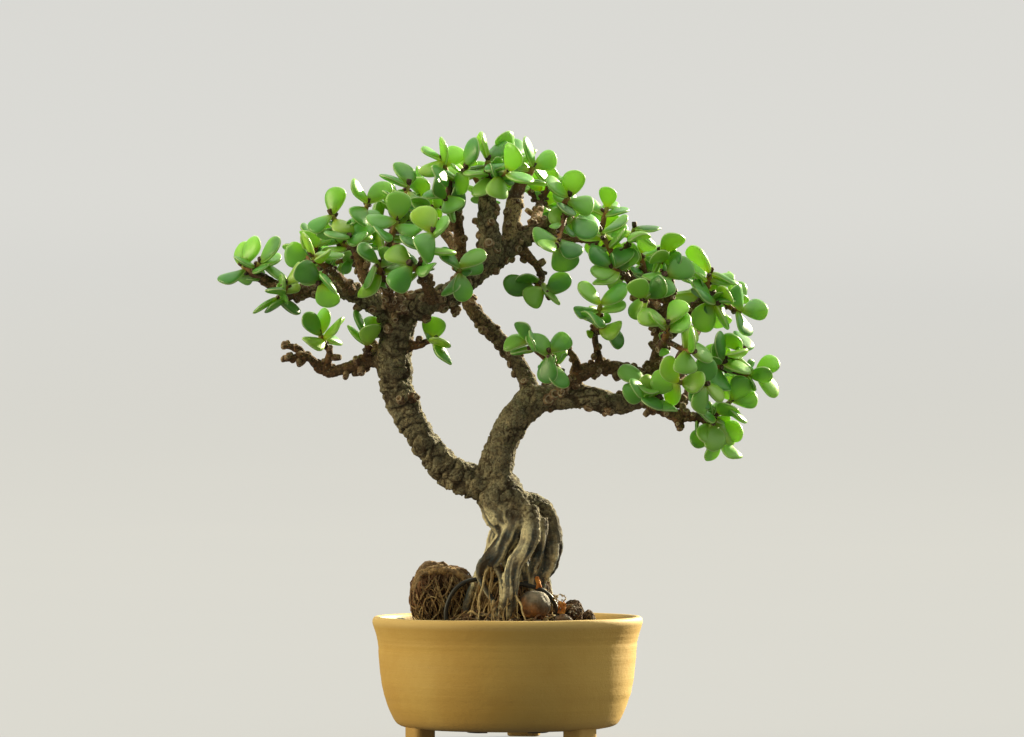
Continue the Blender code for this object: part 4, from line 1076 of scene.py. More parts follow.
def surface_of(*objects):
    """The surface of finished pieces in millimetres from the pot's axis, to seat others on."""
    bm = bmesh.new()
    for obj in objects:
        bm.from_mesh(obj.data)
    bmesh.ops.transform(bm, matrix=TO_FRAME.inverted(), verts=bm.verts[:])
    tree = BVHTree.FromBMesh(bm)
    bm.free()
    return tree


def rooted(wood, foot):
    """A knob's foot, brought down into the wood where it would stand clear."""
    spot, normal, _, _ = wood.find_nearest(foot)
    return spot - normal * KNOB_SINK if (foot - spot).dot(normal) > -KNOB_SINK else foot


def build_knobs(strands, wood):
    """Old leaf scars and cut stubs along the thinner wood, closest together where it is knobbliest."""
    draw = random.Random(SEED + 1)
    knobs = []

    def add_knob(foot, axis, radius, height):
        bm = bmesh.new()
        knob(bm, bm.verts.layers.float.new("rim"), rooted(wood, foot), axis, radius, height)
        knobs.append(bm)

    for strand in strands:
        if strand.rooty:
            continue
        spacing = KNOBBY.get(strand.name, PLAIN_KNOBS)
        step = 0.0
        for behind, ahead in zip(strand.path, strand.path[1:]):
            step -= (ahead - behind).to_3d().length
            radius = behind.w
            while step < 0 and radius < THICK_WOOD:
                step += draw.uniform(0.7, 1.4) * spacing
                along = way_to(behind, ahead)
                around = square_to(along, draw.uniform(0, 2 * math.pi))
                axis = (around + along * draw.uniform(-0.1, 0.5) + Vector((0, 0, 0.3))).normalized()
                size = draw.uniform(0.9, 1.55) * (KNOB_GROWTH[0] + KNOB_GROWTH[1] * radius)
                foot = behind.to_3d() + around * (radius * 0.85) + along * draw.uniform(0, WOOD_STEP)
                height = draw.uniform(2.0, 3.8) if draw.random() < DRY_STUBS else draw.uniform(0.8, 1.7)
                add_knob(foot, axis, size, height)
        if strand.name in BARE_ENDS:
            end = strand.path[-1]
            along = way_to(strand.path[-2], end)
            for _ in range(END_KNOBS):
                axis = (along + shift(draw, 0.7)).normalized()
                add_knob(end.to_3d() - along * 0.8, axis, draw.uniform(0.7, 1.0) * end.w,
                         draw.uniform(1.2, 2.6))
    settle(round_off(object_of("leaf_scars", gather(knobs))), ("scar",), "bark")


def inside_box(verts):
    """Whether all of a shape's points lie inside the solids' own box."""
    return all(BOX_LOW[axis] <= vert.co[axis] <= BOX_HIGH[axis] for vert in verts for axis in range(3))


def levelling(matrix):
    """The roll about its own length that turns a leaf's broad face part of the way to the light."""
    length, _, face = matrix.to_3x3().normalized().col
    level = LEAF_LIGHT - length * length.dot(LEAF_LIGHT)
    if face.dot(level) < 0:
        level = -level
    angle = math.atan2(face.cross(level).dot(length), face.dot(level))
    return LEAF_LEVELLING * angle * min(1.0, level.length)


def leaf_layers(bm):
    """What the leaf and stem finishes read at each point of a spray."""
    return Layers(*[bm.verts.layers.float.new(name) for name in Layers._fields])


def fine_leaf(bm, layers, placed, draw):
    """One plump leaf: domed and curled a little its own way, with a rounded rim and a narrow foot."""
    made = bmesh.ops.create_uvsphere(bm, u_segments=LEAF_AROUND, v_segments=4, radius=1.0)["verts"]
    length, width, thick = (value * placed.size for value in (LEAF_LENGTH, LEAF_WIDTH, LEAF_THICKNESS))
    length *= draw.uniform(0.96, 1.06)
    width *= draw.uniform(0.98, 1.20)
    thick *= draw.uniform(1.15, 1.5)
    cup = draw.uniform(-0.20, 0.12)
    fold = draw.uniform(-0.85, 0.35)
    skew = draw.gauss(0, 0.09)
    twist = draw.gauss(0, 0.25)
    blunt = draw.uniform(0.0, 0.17)
    wave, phase = draw.uniform(0.0, 0.05), draw.uniform(0, 2 * math.pi)
    broadness = draw.random()
    roll = Matrix.Rotation(levelling(placed.matrix) + draw.gauss(0, 0.30), 4, "X")
    roll = roll @ Matrix.Rotation(draw.gauss(0, 0.22), 4, "Y")
    tint = draw.random()
    for vert in made:
        # A ball's plan, filled out towards the rim, waved there and blunt at the tip
        spread = math.hypot(vert.co.x, vert.co.y)
        flare = spread ** -0.35 if spread > 0.01 else 0.0
        x, y, z = vert.co.x * flare, vert.co.y * flare, vert.co.z
        y *= 1 + wave * math.sin(3 * math.atan2(y, x) + phase)
        x -= blunt * max(0.0, x) ** 4

        # Broad towards the tip and narrow at the foot, thick where it joins and thin at the rim
        along = (1 + x) / 2
        taper = 0.45 - 0.22 * broadness + (1.05 + 0.55 * broadness) * along
        broad = y * width / 2 * (taper - (0.32 + 0.2 * broadness) * along * along) / 0.9
        broad += skew * length * along * along
        raised = abs(z) ** 0.8 * thick / 2 * (1.15 - 0.34 * along)
        raised *= 0.95 if z > 0 else -1.1 if z < 0 else 0.0

        # A small point, then the cupped, folded and twisted face
        point = 0.035 * length * math.exp(-(y / 0.3) ** 2) * ramp(x, 0.6, 1.0)
        bent = cup * length * along * along + fold * broad * broad / width
        turn = twist * along
        across = broad * math.cos(turn) - raised * math.sin(turn)
        upward = broad * math.sin(turn) + raised * math.cos(turn) + bent
        spot = Vector((along * length + point - LEAF_SINK, across, upward))
        vert.co = placed.matrix @ roll @ spot
        vert[layers.along] = along
        vert[layers.rim] = spread
        vert[layers.tint] = tint
    foot = placed.matrix.translation
    while not inside_box(made):
        for vert in made:
            vert.co = foot + (vert.co - foot) * 0.97


def stub(bm, layers, foot, axis, radius, height, young):
    """The dry end of a shoot: a short peg with a ringed, sunken tip."""
    faces, end = peg(bm, foot, axis, (radius, radius * 1.08), height)
    bmesh.ops.inset_region(bm, faces=[end], thickness=radius * 0.3)
    bmesh.ops.inset_region(bm, faces=[end], thickness=radius * 0.25, depth=-radius * 0.35)
    for face in faces:
        mark(face.verts, layers.along, young)
        mark(face.verts, layers.rim, 0.3)


def stem_knobs(path, draw):
    """The ringed leaf scars round a leafy twig, in pairs that turn from joint to joint."""
    made = []
    turn = draw.uniform(0, math.pi)
    step = 0.0
    for behind, ahead in zip(path, path[1:]):
        step -= (ahead - behind).to_3d().length
        if step > 0:
            continue
        step += draw.uniform(2.2, 3.6)
        turn += math.pi / 2
        along = way_to(behind, ahead)
        for side in (0, math.pi):
            if draw.random() < MISSING_SCARS:
                continue
            around = square_to(along, turn + side)
            bm = bmesh.new()
            layers = leaf_layers(bm)
            foot = behind.to_3d() + around * behind.w * 0.6
            knob(bm, layers.rim, foot, (around + along * 0.5).normalized(), draw.uniform(0.75, 1.15),
                 draw.uniform(1.0, 1.8), 6)
            for vert in bm.verts:
                vert[layers.along] = draw.uniform(0.1, 0.4)
                vert[layers.tint] = 0.5
            made.append(bm)
    return made


def small_pair(line, draw):
    """Two young leaves on a twig, opposite each other."""
    index = draw.randrange(1, len(line))
    behind, ahead = line[index - 1], line[index]
    along = way_to(behind, ahead)
    around = square_to(along, draw.uniform(0, math.pi))
    size = draw.uniform(0.38, 0.62)
    pair = []
    for side in (around, -around):
        heading = (side + along * draw.uniform(0.4, 0.9)).normalized()
        root = behind.to_3d() + side * behind.w * 0.7
        pair.append(Placed(leaf_matrix(root, heading, along), size))
    return pair


def build_spray(spray, seat, stems, leaves, draw):
    """A leafy spray: its twigs with their swollen joints, buds and dry tips, and its plump leaves."""
    bm = bmesh.new()
    layers = leaf_layers(bm)
    place, along, _ = seat
    shoots, lines = stems
    knobs = []
    for (_, heading, _), line in zip(shoots, lines):
        points = line
        if line is lines[0]:
            points = [Vector((*(place - along * STEM_SINK), line[0].w * 0.96))] + line
        path = smooth_path(points, TWIG_SPACING)
        for index, point in enumerate(path):
            joint = abs(math.sin(index * TWIG_SPACING / PAIR_SPACING * math.pi))
            point.w *= 0.98 + 0.30 * (1 - joint) ** 2
        for index, ring in enumerate(add_tube(bm, path, 8, relief=0.10, grain=1.2)):
            mark(ring, layers.along, index / (len(path) - 1))
            mark(ring, layers.tint, 0.5)
        if draw.random() < DRY_TIPS:
            stub(bm, layers, path[-1].to_3d() - heading * 0.8, heading, draw.uniform(1.0, 1.45),
                 draw.uniform(2.2, 3.4), draw.uniform(0.15, 0.45))
        knobs += stem_knobs(path, draw)
    join(bm, gather(knobs))
    stem_faces = set(bm.faces)
    for leaf in leaves:
        fine_leaf(bm, layers, leaf, draw)
    for line in lines:
        if draw.random() < SMALL_PAIRS:
            for leaf in small_pair(line, draw):
                fine_leaf(bm, layers, leaf, draw)
    for face in bm.faces:
        face.material_index = 1 if face in stem_faces else 0
    obj = object_of(spray.name.replace("spray_", "leaves_"), bm)
    settle(round_off(obj), ("leaf", "stem"), "leaf", (spray.name,))


def turned(outline, segments, closed=True):
    """An outline of points (radius, 0, height), closed or open, turned about the Z axis."""
    bm = bmesh.new()
    verts = [bm.verts.new(point) for point in outline]
    pairs = zip(verts, verts[1:] + (verts[:1] if closed else []))
    edges = [bm.edges.new(pair) for pair in pairs]
    bmesh.ops.spin(bm, geom=verts + edges, cent=(0, 0, 0), axis=(0, 0, 1), angle=2 * math.pi,
                   steps=segments, use_merge=True)
    bmesh.ops.remove_doubles(bm, verts=bm.verts[:], dist=0.001)
    bmesh.ops.recalc_face_normals(bm, faces=bm.faces[:])
    return bm


def round_edges(bm, edges, offset, segments):
    bmesh.ops.bevel(bm, geom=edges, affect="EDGES", offset=offset, segments=segments, profile=0.5,
                    material=-1)


def pot_foot(angle):
    """One of the pot's feet: a slab with round corners and a softened sole."""
    bm = bmesh.new()
    bmesh.ops.create_cube(bm, size=1.0)
    height = FOOT_HEIGHT + FOOT_SINK
    bmesh.ops.scale(bm, vec=(FOOT_LENGTH, FOOT_DEPTH, height), verts=bm.verts[:])
    upright = [edge for edge in bm.edges
               if abs(edge.verts[0].co.z - edge.verts[1].co.z) > height / 2]
    round_edges(bm, upright, FOOT_ROUNDING, 4)
    level = [edge for edge in bm.edges if all(vert.co.z < 0 for vert in edge.verts)]
    round_edges(bm, level, FOOT_SOFTENING, 3)
    turn = Matrix.Rotation(math.radians(angle), 4, "Z")
    place = turn @ Matrix.Translation((0, -FOOT_RING, height / 2))
    bmesh.ops.transform(bm, matrix=place, verts=bm.verts[:])
    return bm


def thrown_body():
    """The pot's body with its rolled lip, its throwing rings and a thrown pot's slight wobble."""
    rings = (*FLOOR_RINGS, DRAIN_RADIUS)
    outline = smooth_path([Vector((radius, 0, height)) for radius, height in POT_WALL], POT_STEP)
    outline += [Vector((radius, 0, FLOOR_TOP)) for radius in rings]
    outline += [Vector((radius, 0, FOOT_HEIGHT)) for radius in reversed(rings)]
    body = turned(outline, POT_SEGMENTS)
    for vert in body.verts:
        if math.hypot(vert.co.x, vert.co.y) < WALL_FOOT:
            continue
        angle = math.atan2(vert.co.y, vert.co.x)
        turn = Vector((math.cos(angle), math.sin(angle), 0))
        climb = vert.co.z + 0.5 * angle / math.pi
        ring = noise.noise(Vector((turn.x * 0.4, turn.y * 0.4, climb / 1.5)))
        wobble = noise.noise(turn * 1.4 + Vector((0, 0, vert.co.z / 30.0)))
        on_wall = 1 - 0.75 * ramp(vert.co.z, LIP_HEIGHT - 1, LIP_HEIGHT + 2)
        vert.co += turn * (0.16 * ring * on_wall + 0.22 * wobble - 0.12)
        vert.co.z += 0.12 * noise.noise(turn * 2.1) * ramp(vert.co.z, 40.0, 50.0)
    return body


def build_pot():
    """The thrown body on three feet, with the tie holes cut through its floor."""
    shell = fuse("thrown_pot", [thrown_body()] + [pot_foot(angle) for angle in FOOT_ANGLES])
    whole = bmesh.new()
    whole.from_mesh(shell.data)
    bpy.data.objects.remove(shell, do_unlink=True)
    holes = []
    for x in (-TIE_HOLE_X, TIE_HOLE_X):
        hole = bmesh.new()
        bmesh.ops.create_cone(hole, cap_ends=True, segments=24, radius1=TIE_HOLE_RADIUS,
                              radius2=TIE_HOLE_RADIUS, depth=3 * FLOOR_THICKNESS,
                              matrix=Matrix.Translation((x, WIRE_DEPTH_Y, FLOOR_TOP - 2.0)))
        holes.append(hole)
    pot = fuse("thrown_pot", [whole] + holes, "DIFFERENCE")
    settle(pot, ("clay",), "clay", ("pot",), sharp=50.0)


def wire_path():
    """The anchoring wire: bent flat under the floor, up through the soil and over the roots."""
    under = FOOT_HEIGHT - GAP - WIRE_RADIUS
    points = [(-8.0, under), (-13.0, under), (-16.2, under + 0.5), (-TIE_HOLE_X, under + 2.6),
              (-TIE_HOLE_X, 12.0), (-18.5, 24.0), (-22.5, 38.0), (-24.6, 50.0), (-23.2, 57.0),
              (-19.4, 62.2), (-13.5, 64.7), (-6.0, 64.6), (1.0, 63.6), (8.0, 62.4), (13.6, 60.6),
              (17.8, 57.0), (20.0, 50.5), (20.0, 38.0), (18.6, 24.0), (TIE_HOLE_X, 12.0),
              (TIE_HOLE_X, under + 2.6), (16.2, under + 0.5), (13.0, under), (8.0, under)]
    return [Vector((x, WIRE_DEPTH_Y, z, WIRE_RADIUS)) for x, z in points]


def build_wire():
    bm = bmesh.new()
    add_tube(bm, smooth_path(wire_path(), 1.0), 12)
    settle(object_of("anchoring_wire", bm), ("coating",), "coating", ("anchor_wire",), sharp=60.0)


def stone(middle, size, finer, relief, grain, pits):
    """A stone: a ball scaled to size, its surface pushed in and out, and pitted if it is porous."""
    bm = bmesh.new()
    bmesh.ops.create_icosphere(bm, subdivisions=finer, radius=1.0)
    for vert in bm.verts:
        broad = vert.co * size.length / grain + middle
        swell = 1 + relief * noise.noise(broad) + 0.3 * relief * noise.noise(broad * 3.1)
        if pits:
            near = noise.voronoi(vert.co * size.length / 1.6 + middle)[0][0]
            swell -= pits * (1 - ramp(near, 0.15, 0.5))
        vert.co = middle + vert.co * size * swell
    return bm


def build_stones():
    """The pebble, the lava lumps, the grit stone and the bark chip that lie on the soil."""
    for row in STONES:
        shape = stone(Vector(row.middle), Vector(row.size), row.finer, row.relief, row.grain, row.pits)
        settle(object_of(row.piece, shape), (row.finish,), row.slot, (row.node,))


def strand_of(points, sides, shade, spacing=2.0, relief=0.0, grain=1.5):
    """A root or fibre of its own tone, along the smooth curve through its points."""
    bm = bmesh.new()
    tint = bm.verts.layers.float.new("tint")
    add_tube(bm, smooth_path(points, spacing), sides, relief=relief, grain=grain)
    mark(bm.verts, tint, shade)
    return bm


def on_lump(way, size, reach, squareness=2.0):
    """The point of a rounded box of a size that lies in a direction from its middle."""
    way = way.normalized()
    power = sum(abs(part) ** squareness for part in way) ** (-1 / squareness)
    return way * size * power * reach


def wander(middle, size, reach, thick, draw, steps=8, squareness=2.0):
    """A rootlet's points, wandering over a lump's surface."""
    around, lift = draw.uniform(0, 2 * math.pi), draw.uniform(-0.75, 0.85)
    turn = draw.uniform(0.5, 1.6) * draw.choice((-1, 1))
    points = []
    for step in range(steps):
        angle = around + turn * step / (steps - 1)
        rise = lift + 0.35 * math.sin(step * 1.1 + around) + draw.gauss(0, 0.06)
        up = max(-0.9, min(0.97, rise))
        flat = math.sqrt(1 - up * up)
        way = Vector((math.cos(angle) * flat, math.sin(angle) * flat, up))
        spot = on_lump(way, size, reach + draw.uniform(-0.05, 0.07), squareness)
        points.append(Vector((*(middle + spot), thick * (1 - 0.09 * step))))
    return points


def woody_strip(draw):
    """A strip of old woody root that bends over the lump from its left foot to its right shoulder."""
    depth = draw.uniform(-0.9, 0.8)
    first, last = math.radians(draw.uniform(125, 215)), math.radians(draw.uniform(15, 85))
    reach = draw.uniform(0.88, 1.07)
    thick = draw.choice((0.6, 0.8, 1.0, 1.3, 2.0)) * draw.uniform(0.8, 1.2)
    lean = draw.uniform(-0.3, 0.3)
    points = []
    for step in range(9):
        t = step / 8
        angle = first + (last - first) * t
        way = Vector((math.cos(angle), (depth + lean * (t - 0.5)) * 1.1 + draw.uniform(-0.06, 0.06),
                      math.sin(angle)))
        spot = on_lump(way, LUMP_SIZE, reach + draw.uniform(-0.07, 0.06), LUMP_SQUARENESS)
        points.append(Vector((*(LUMP_MIDDLE + spot), thick * (0.4 + 0.6 * math.sin(math.pi * t)))))
    return points


def lump_shade(points, draw):
    """The tone of a fibre by where it lies: red-brown at the left, grey-brown on top, else straw."""
    spot = sum((point.to_3d() for point in points), Vector()) / len(points) - LUMP_MIDDLE
    left = ramp(-spot.x / LUMP_SIZE.x, 0.3, 0.9)
    top = ramp(spot.z / LUMP_SIZE.z, 0.35, 0.8) * (1 - left)
    straw = max(0.0, 1 - left - top)
    return (straw * draw.uniform(0.5, 1.0) + left * draw.uniform(0.1, 0.34)
            + top * draw.uniform(0.3, 0.55))


def build_root_mass():
    """The matted lump at the left: a dark core under strips of woody root and a net of fibres."""
    draw = random.Random(SEED)
    core = bmesh.new()
    bmesh.ops.create_icosphere(core, subdivisions=5, radius=1.0)
    core.verts.layers.float.new("tint")
    for vert in core.verts:
        place = vert.co * 9.0
        swell = 0.91 + 0.17 * noise.noise(place / 5.0) + 0.09 * noise.noise(place / 1.8)
        vert.co = LUMP_MIDDLE + on_lump(vert.co, LUMP_SIZE, swell, LUMP_SQUARENESS)
    shapes = [core]
    for _ in range(STRIP_COUNT):
        points = woody_strip(draw)
        shapes.append(strand_of(points, 10, draw.uniform(0.30, 0.66), 1.0, 0.6, 0.9))
    for _ in range(BRIDGE_COUNT):
        aside = Vector((draw.gauss(0, 0.8), draw.gauss(0, 3.0), draw.gauss(-0.6, 1.3)))
        thick = draw.uniform(0.6, 1.5)
        points = [Vector((*(seen(*spot) + aside + shift(draw, 0.5)), thick)) for spot in BRIDGE]
        shapes.append(strand_of(points, 10, draw.uniform(0.3, 0.6), 1.0, 0.5, 0.9))
    for _ in range(FIBRE_COUNT):
        thick = draw.uniform(0.14, 0.40)
        points = wander(LUMP_MIDDLE, LUMP_SIZE, draw.uniform(0.97, 1.06), thick, draw,
                        squareness=LUMP_SQUARENESS)
        shapes.append(strand_of(points, 5, lump_shade(points, draw), 2.2))
    settle(object_of("matted_roots", gather(shapes)), ("fibre",), "fibre", ("root_mass",))


def ground_at(tree, x, y):
    """The height of the soil's surface, or None over a root's hole or outside the soil."""
    found = tree.ray_cast(Vector((x, y, ABOVE_SOIL)), Vector((0, 0, -1)))[0]
    return found.z if found and found.z > SOIL_FLOOR else None


def packed_lumps():
    """The middle and half size of each lump of soil under the roots."""
    return [(seen(column, row, depth), Vector((radius, radius * 0.9, radius)))
            for column, row, depth, radius in PACKED_SOIL]


def build_packed_soil():
    """The soil that old rootlets hold together under the root legs."""
    lumps = [stone(middle, size, 4, 0.24, 3.6, 0.10) for middle, size in packed_lumps()]
    return settle(object_of("packed_root_soil", gather(lumps)), ("soil",), "soil")


def flake(foot, size, lean, taper):
    """A thin chip of bark that stands on edge, its faces and rim broken."""
    bm = bmesh.new()
    bmesh.ops.create_cube(bm, size=1.0)
    bmesh.ops.subdivide_edges(bm, edges=bm.edges[:], cuts=6, use_grid_fill=True)
    for vert in bm.verts:
        corner = 1 - 0.16 * (abs(vert.co.x) + abs(vert.co.z)) ** 3
        narrow = corner * (1 - taper * (vert.co.z + 0.5))
        place = vert.co * size * Vector((narrow, 1.0, corner))
        vert.co = place + vert.co * 2.0 * noise.noise(place / 1.5 + foot)
    matrix = Matrix.Translation(foot + Vector((0, 0, size.z / 2))) @ Matrix.Rotation(lean, 4, "Y")
    bmesh.ops.transform(bm, matrix=matrix, verts=bm.verts[:])
    return bm


def build_flakes():
    """Orange flakes of bark: one against the lava, one on the wire behind the pebble."""
    shapes = [flake(seen(*row.foot), Vector(row.size), math.radians(row.lean), row.taper)
              for row in FLAKES]
    settle(round_off(object_of("orange_flakes", gather(shapes))), ("flake",), "chip")


def grain_of(place, size, shade, flat, draw):
    """A loose grain or flake, each point pushed a little its own way."""
    bm = bmesh.new()
    tint = bm.verts.layers.float.new("tint")
    turn = Quaternion([draw.gauss(0, 1) for _ in range(4)])
    matrix = (Matrix.Translation(place) @ turn.normalized().to_matrix().to_4x4()
              @ Matrix.Diagonal((1.2, 0.9, flat, 1.0)))
    made = bmesh.ops.create_icosphere(bm, subdivisions=1, radius=size, matrix=matrix)["verts"]
    for vert in made:
        vert.co += shift(draw, 0.12 * size)
        vert[tint] = shade
    return bm


def build_grains(tree):
    """The gritty top dressing: loose grains of fired clay, lava and pale stone bedded in the soil."""
    draw = random.Random(SEED + 3)
    grains = []
    for _ in range(GRAIN_COUNT):
        radius = SOIL_RADIUS * math.sqrt(draw.random())
        angle = draw.uniform(0, 2 * math.pi)
        x, y = radius * math.cos(angle), radius * math.sin(angle)
        ground = ground_at(tree, x, y)
        size = draw.uniform(0.5, 1.3)
        if ground is not None:
            place = Vector((x, y, ground + size * 0.25))
            grains.append(grain_of(place, size, draw.random(), 0.7, draw))
    for _ in range(FLAKE_COUNT):
        place = Vector([draw.uniform(*side) for side in FLAKE_PATCH])
        grains.append(grain_of(place, draw.uniform(0.3, 0.7), draw.uniform(0.75, 1.0), 0.3, draw))
    settle(object_of("soil_grains", gather(grains)), ("grains",), "soil", sharp=35.0)


def lying_strand(tree, start, heading, run, lift, thick, shade, draw):
    """A rootlet that rises from the soil, wanders, and goes back in."""
    points = []
    ground = SOIL_FLOOR
    bend = draw.uniform(-0.9, 0.9)
    for step in range(8):
        t = step / 7
        way = Quaternion((0, 0, 1), bend * t) @ heading
        spot = start + way * run * t + shift(draw, 0.25)
        found = ground_at(tree, spot.x, spot.y)
        ground = found if found is not None else ground
        height = ground - 0.5 + lift * math.sin(math.pi * t)
        points.append(Vector((spot.x, spot.y, height, thick * (1 - 0.3 * t))))
    return strand_of(points, 6, shade, 1.6)


def hanging_strand(tree, start, heading, run, thick, shade, draw):
    """A side root that leaves a root leg and drops in a curve to the soil."""
    end = start + heading * run
    ground = ground_at(tree, end.x, end.y)
    if ground is None:
        return None
    points = []
    for step in range(7):
        t = step / 6
        spot = start + heading * run * t ** 0.8 + shift(draw, 0.3)
        spot.z = start.z - (start.z - ground + 0.8) * t ** 1.6
        points.append(Vector((*spot, thick * (1 - 0.5 * t))))
    return strand_of(points, 6, shade, 1.6)


def level_way(draw):
    angle = draw.uniform(0, 2 * math.pi)
    return Vector((math.cos(angle), math.sin(angle), 0))


def wound(middle, size, count, reach, thick, shade, steps, spacing, draw):
    """Rootlets wound round a lump, each drawn from a range of reach, thickness and tone."""
    for _ in range(count):
        points = wander(middle, size, draw.uniform(*reach), draw.uniform(*thick), draw, steps)
        yield strand_of(points, 5, draw.uniform(*shade), spacing)


def build_rootlets(tree):
    """Side roots that drop from the root legs, and the mat of old rootlets packed under them."""
    draw = random.Random(SEED + 4)
    shapes = []
    for root in ROOTS:
        path = smooth_path(limb_points(root.points), 3.0)
        low = [point for point in path if SOIL_FLOOR + 6 < point.z < SOIL_FLOOR + 28]
        for _ in range(HANGING_COUNT):
            start, heading = draw.choice(low).to_3d(), level_way(draw)
            run = draw.uniform(3.0, 10.0)
            if start.x + heading.x * run < HANGING_RIGHT:
                shapes.append(hanging_strand(tree, start, heading, run, draw.uniform(0.25, 0.7),
                                             draw.uniform(0.4, 1.0), draw))
    for _ in range(MAT_COUNT):
        start = HEAP_MIDDLE + Vector((draw.gauss(0, 9.5), draw.gauss(0, 7.5), 0))
        shapes.append(lying_strand(tree, start, level_way(draw), draw.uniform(5.0, 16.0),
                                   draw.uniform(0.8, 4.5), draw.uniform(0.16, 0.55),
                                   draw.uniform(0.2, 1.0), draw))
    for middle, size in packed_lumps():
        shapes += wound(middle, size, SOIL_WINDINGS, (0.98, 1.12), (0.15, 0.5), (0.2, 1.0), 8, 1.6, draw)
    for _ in range(WISP_COUNT):
        points = wander(seen(*WISP_SPOT), WISP_SIZE, draw.uniform(0.9, 1.3), 0.22, draw, 5)
        shapes.append(strand_of(points, 5, draw.uniform(0.9, 1.0), 1.2))
    for lump in ("lava_front", "lava_side", "lava_back"):
        low, high = (TO_FRAME.inverted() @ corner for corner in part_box(lump))
        shapes += wound((low + high) / 2, (high - low) / 2, LAVA_WINDINGS, (0.98, 1.16), (0.14, 0.3),
                        (0.5, 1.0), 6, 1.5, draw)
    shapes = [shape for shape in shapes if shape]
    settle(object_of("old_rootlets", gather(shapes)), ("fibre",), "fibre")


class Shading:
    """A node tree, filled step by step: each step adds a node and returns a socket of it."""

    def __init__(self, tree, place=None):
        self.tree = tree
        self.place = place

    def put(self, value, socket):
        """Links a socket, or sets a value or a colour."""
        if isinstance(value, bpy.types.NodeSocket):
            self.tree.links.new(value, socket)
        else:
            socket.default_value = (*value, 1.0) if socket.type == "RGBA" else value

    def node(self, kind, inputs=None, **settings):
        """Adds a node, sets its own values, and sets or links each of its inputs."""
        made = self.tree.nodes.new("ShaderNode" + kind)
        for key, value in settings.items():
            setattr(made, key, value)
        for name, value in (inputs or {}).items():
            self.put(value, made.inputs[name])
        return made

    def attribute(self, name):
        return self.node("Attribute", attribute_name=name).outputs["Fac"]

    def height(self):
        return self.node("SeparateXYZ", {0: self.place}).outputs["Z"]

    def cloud(self, scale, detail=3.0, roughness=0.55):
        """A soft noise from 0 to 1, with so many waves to a metre."""
        made = self.node("TexNoise", {"Vector": self.place, "Scale": scale, "Detail": detail,
                                      "Roughness": roughness})
        return made.outputs["Fac"]

    def mix(self, share, first, second):
        """The colour between two colours, by a share."""
        return self.node("Mix", {0: share, 6: first, 7: second}, data_type="RGBA").outputs[2]

    def span(self, value, low, high, start=0.0, end=1.0):
        """A value from low to high taken smoothly to start to end."""
        made = self.node("MapRange", {"Value": value, "From Min": low, "From Max": high,
                                      "To Min": start, "To Max": end}, interpolation_type="SMOOTHSTEP")
        return made.outputs["Result"]

    def plus(self, first, second):
        return self.node("Math", {0: first, 1: second}, operation="ADD").outputs[0]

    def times(self, first, second):
        return self.node("Math", {0: first, 1: second}, operation="MULTIPLY").outputs[0]

    def stepped(self, value, *stops):
        """A colour ramp of (place, colour) stops."""
        made = self.node("ValToRGB", {"Fac": value})
        elements = made.color_ramp.elements
        elements[1].position = stops[-1][0]
        for place, _ in stops[1:-1]:
            elements.new(place)
        for element, (place, tone) in zip(elements, stops):
            element.position = place
            element.color = (*tone, 1.0)
        return made.outputs["Color"]

    def use(self, group, **inputs):
        """Adds a node group with its own values; returns its outputs."""
        return self.node("Group", {"Place": self.place, **inputs},
                         node_tree=bpy.data.node_groups[group]).outputs


def new_group(name, inputs, output):
    """A shader node group read at its Place: its steps, its inputs and its one output."""
    tree = bpy.data.node_groups.new(name, "ShaderNodeTree")
    for label, kind in (("Place", "Vector"), *inputs):
        tree.interface.new_socket(name=label, in_out="INPUT", socket_type="NodeSocket" + kind)
    tree.interface.new_socket(name=output[0], in_out="OUTPUT", socket_type="NodeSocket" + output[1])
    given = tree.nodes.new("NodeGroupInput").outputs
    return Shading(tree, given["Place"]), given, tree.nodes.new("NodeGroupOutput").inputs[0]


def mottle_group():
    """Soft patches of a second colour over a first, at a scale and to a strength."""
    inputs = (("Scale", "Float"), ("Strength", "Float"), ("First", "Color"), ("Second", "Color"))
    made, given, output = new_group("Mottle", inputs, ("Color", "Color"))
    mask = made.times(made.span(made.cloud(given["Scale"], 4.0, 0.6), 0.36, 0.66), given["Strength"])
    made.put(made.mix(mask, given["First"], given["Second"]), output)


def roughened_group():
    """The height of a rough surface: coarse lumps and fine grain, each at its own scale."""
    inputs = (("Coarse", "Float"), ("Fine", "Float"), ("Fineness", "Float"))
    made, given, output = new_group("Roughened", inputs, ("Height", "Float"))
    lumps = made.cloud(given["Coarse"], 3.0, 0.6)
    grain = made.times(made.cloud(given["Fine"], 2.0, 0.5), given["Fineness"])
    made.put(made.plus(lumps, grain), output)


def specks_group():
    """Scattered round specks, as a mask: how many to a metre, and how much of each cell they fill."""
    made, given, output = new_group("Specks", (("Scale", "Float"), ("Size", "Float")), ("Mask", "Float"))
    cells = made.node("TexVoronoi", {"Vector": made.place, "Scale": given["Scale"]})
    mask = made.node("MapRange", {"Value": cells.outputs["Distance"], "From Min": given["Size"],
                                  "From Max": made.plus(given["Size"], 0.06), "To Min": 1.0,
                                  "To Max": 0.0})
    made.put(mask.outputs["Result"], output)


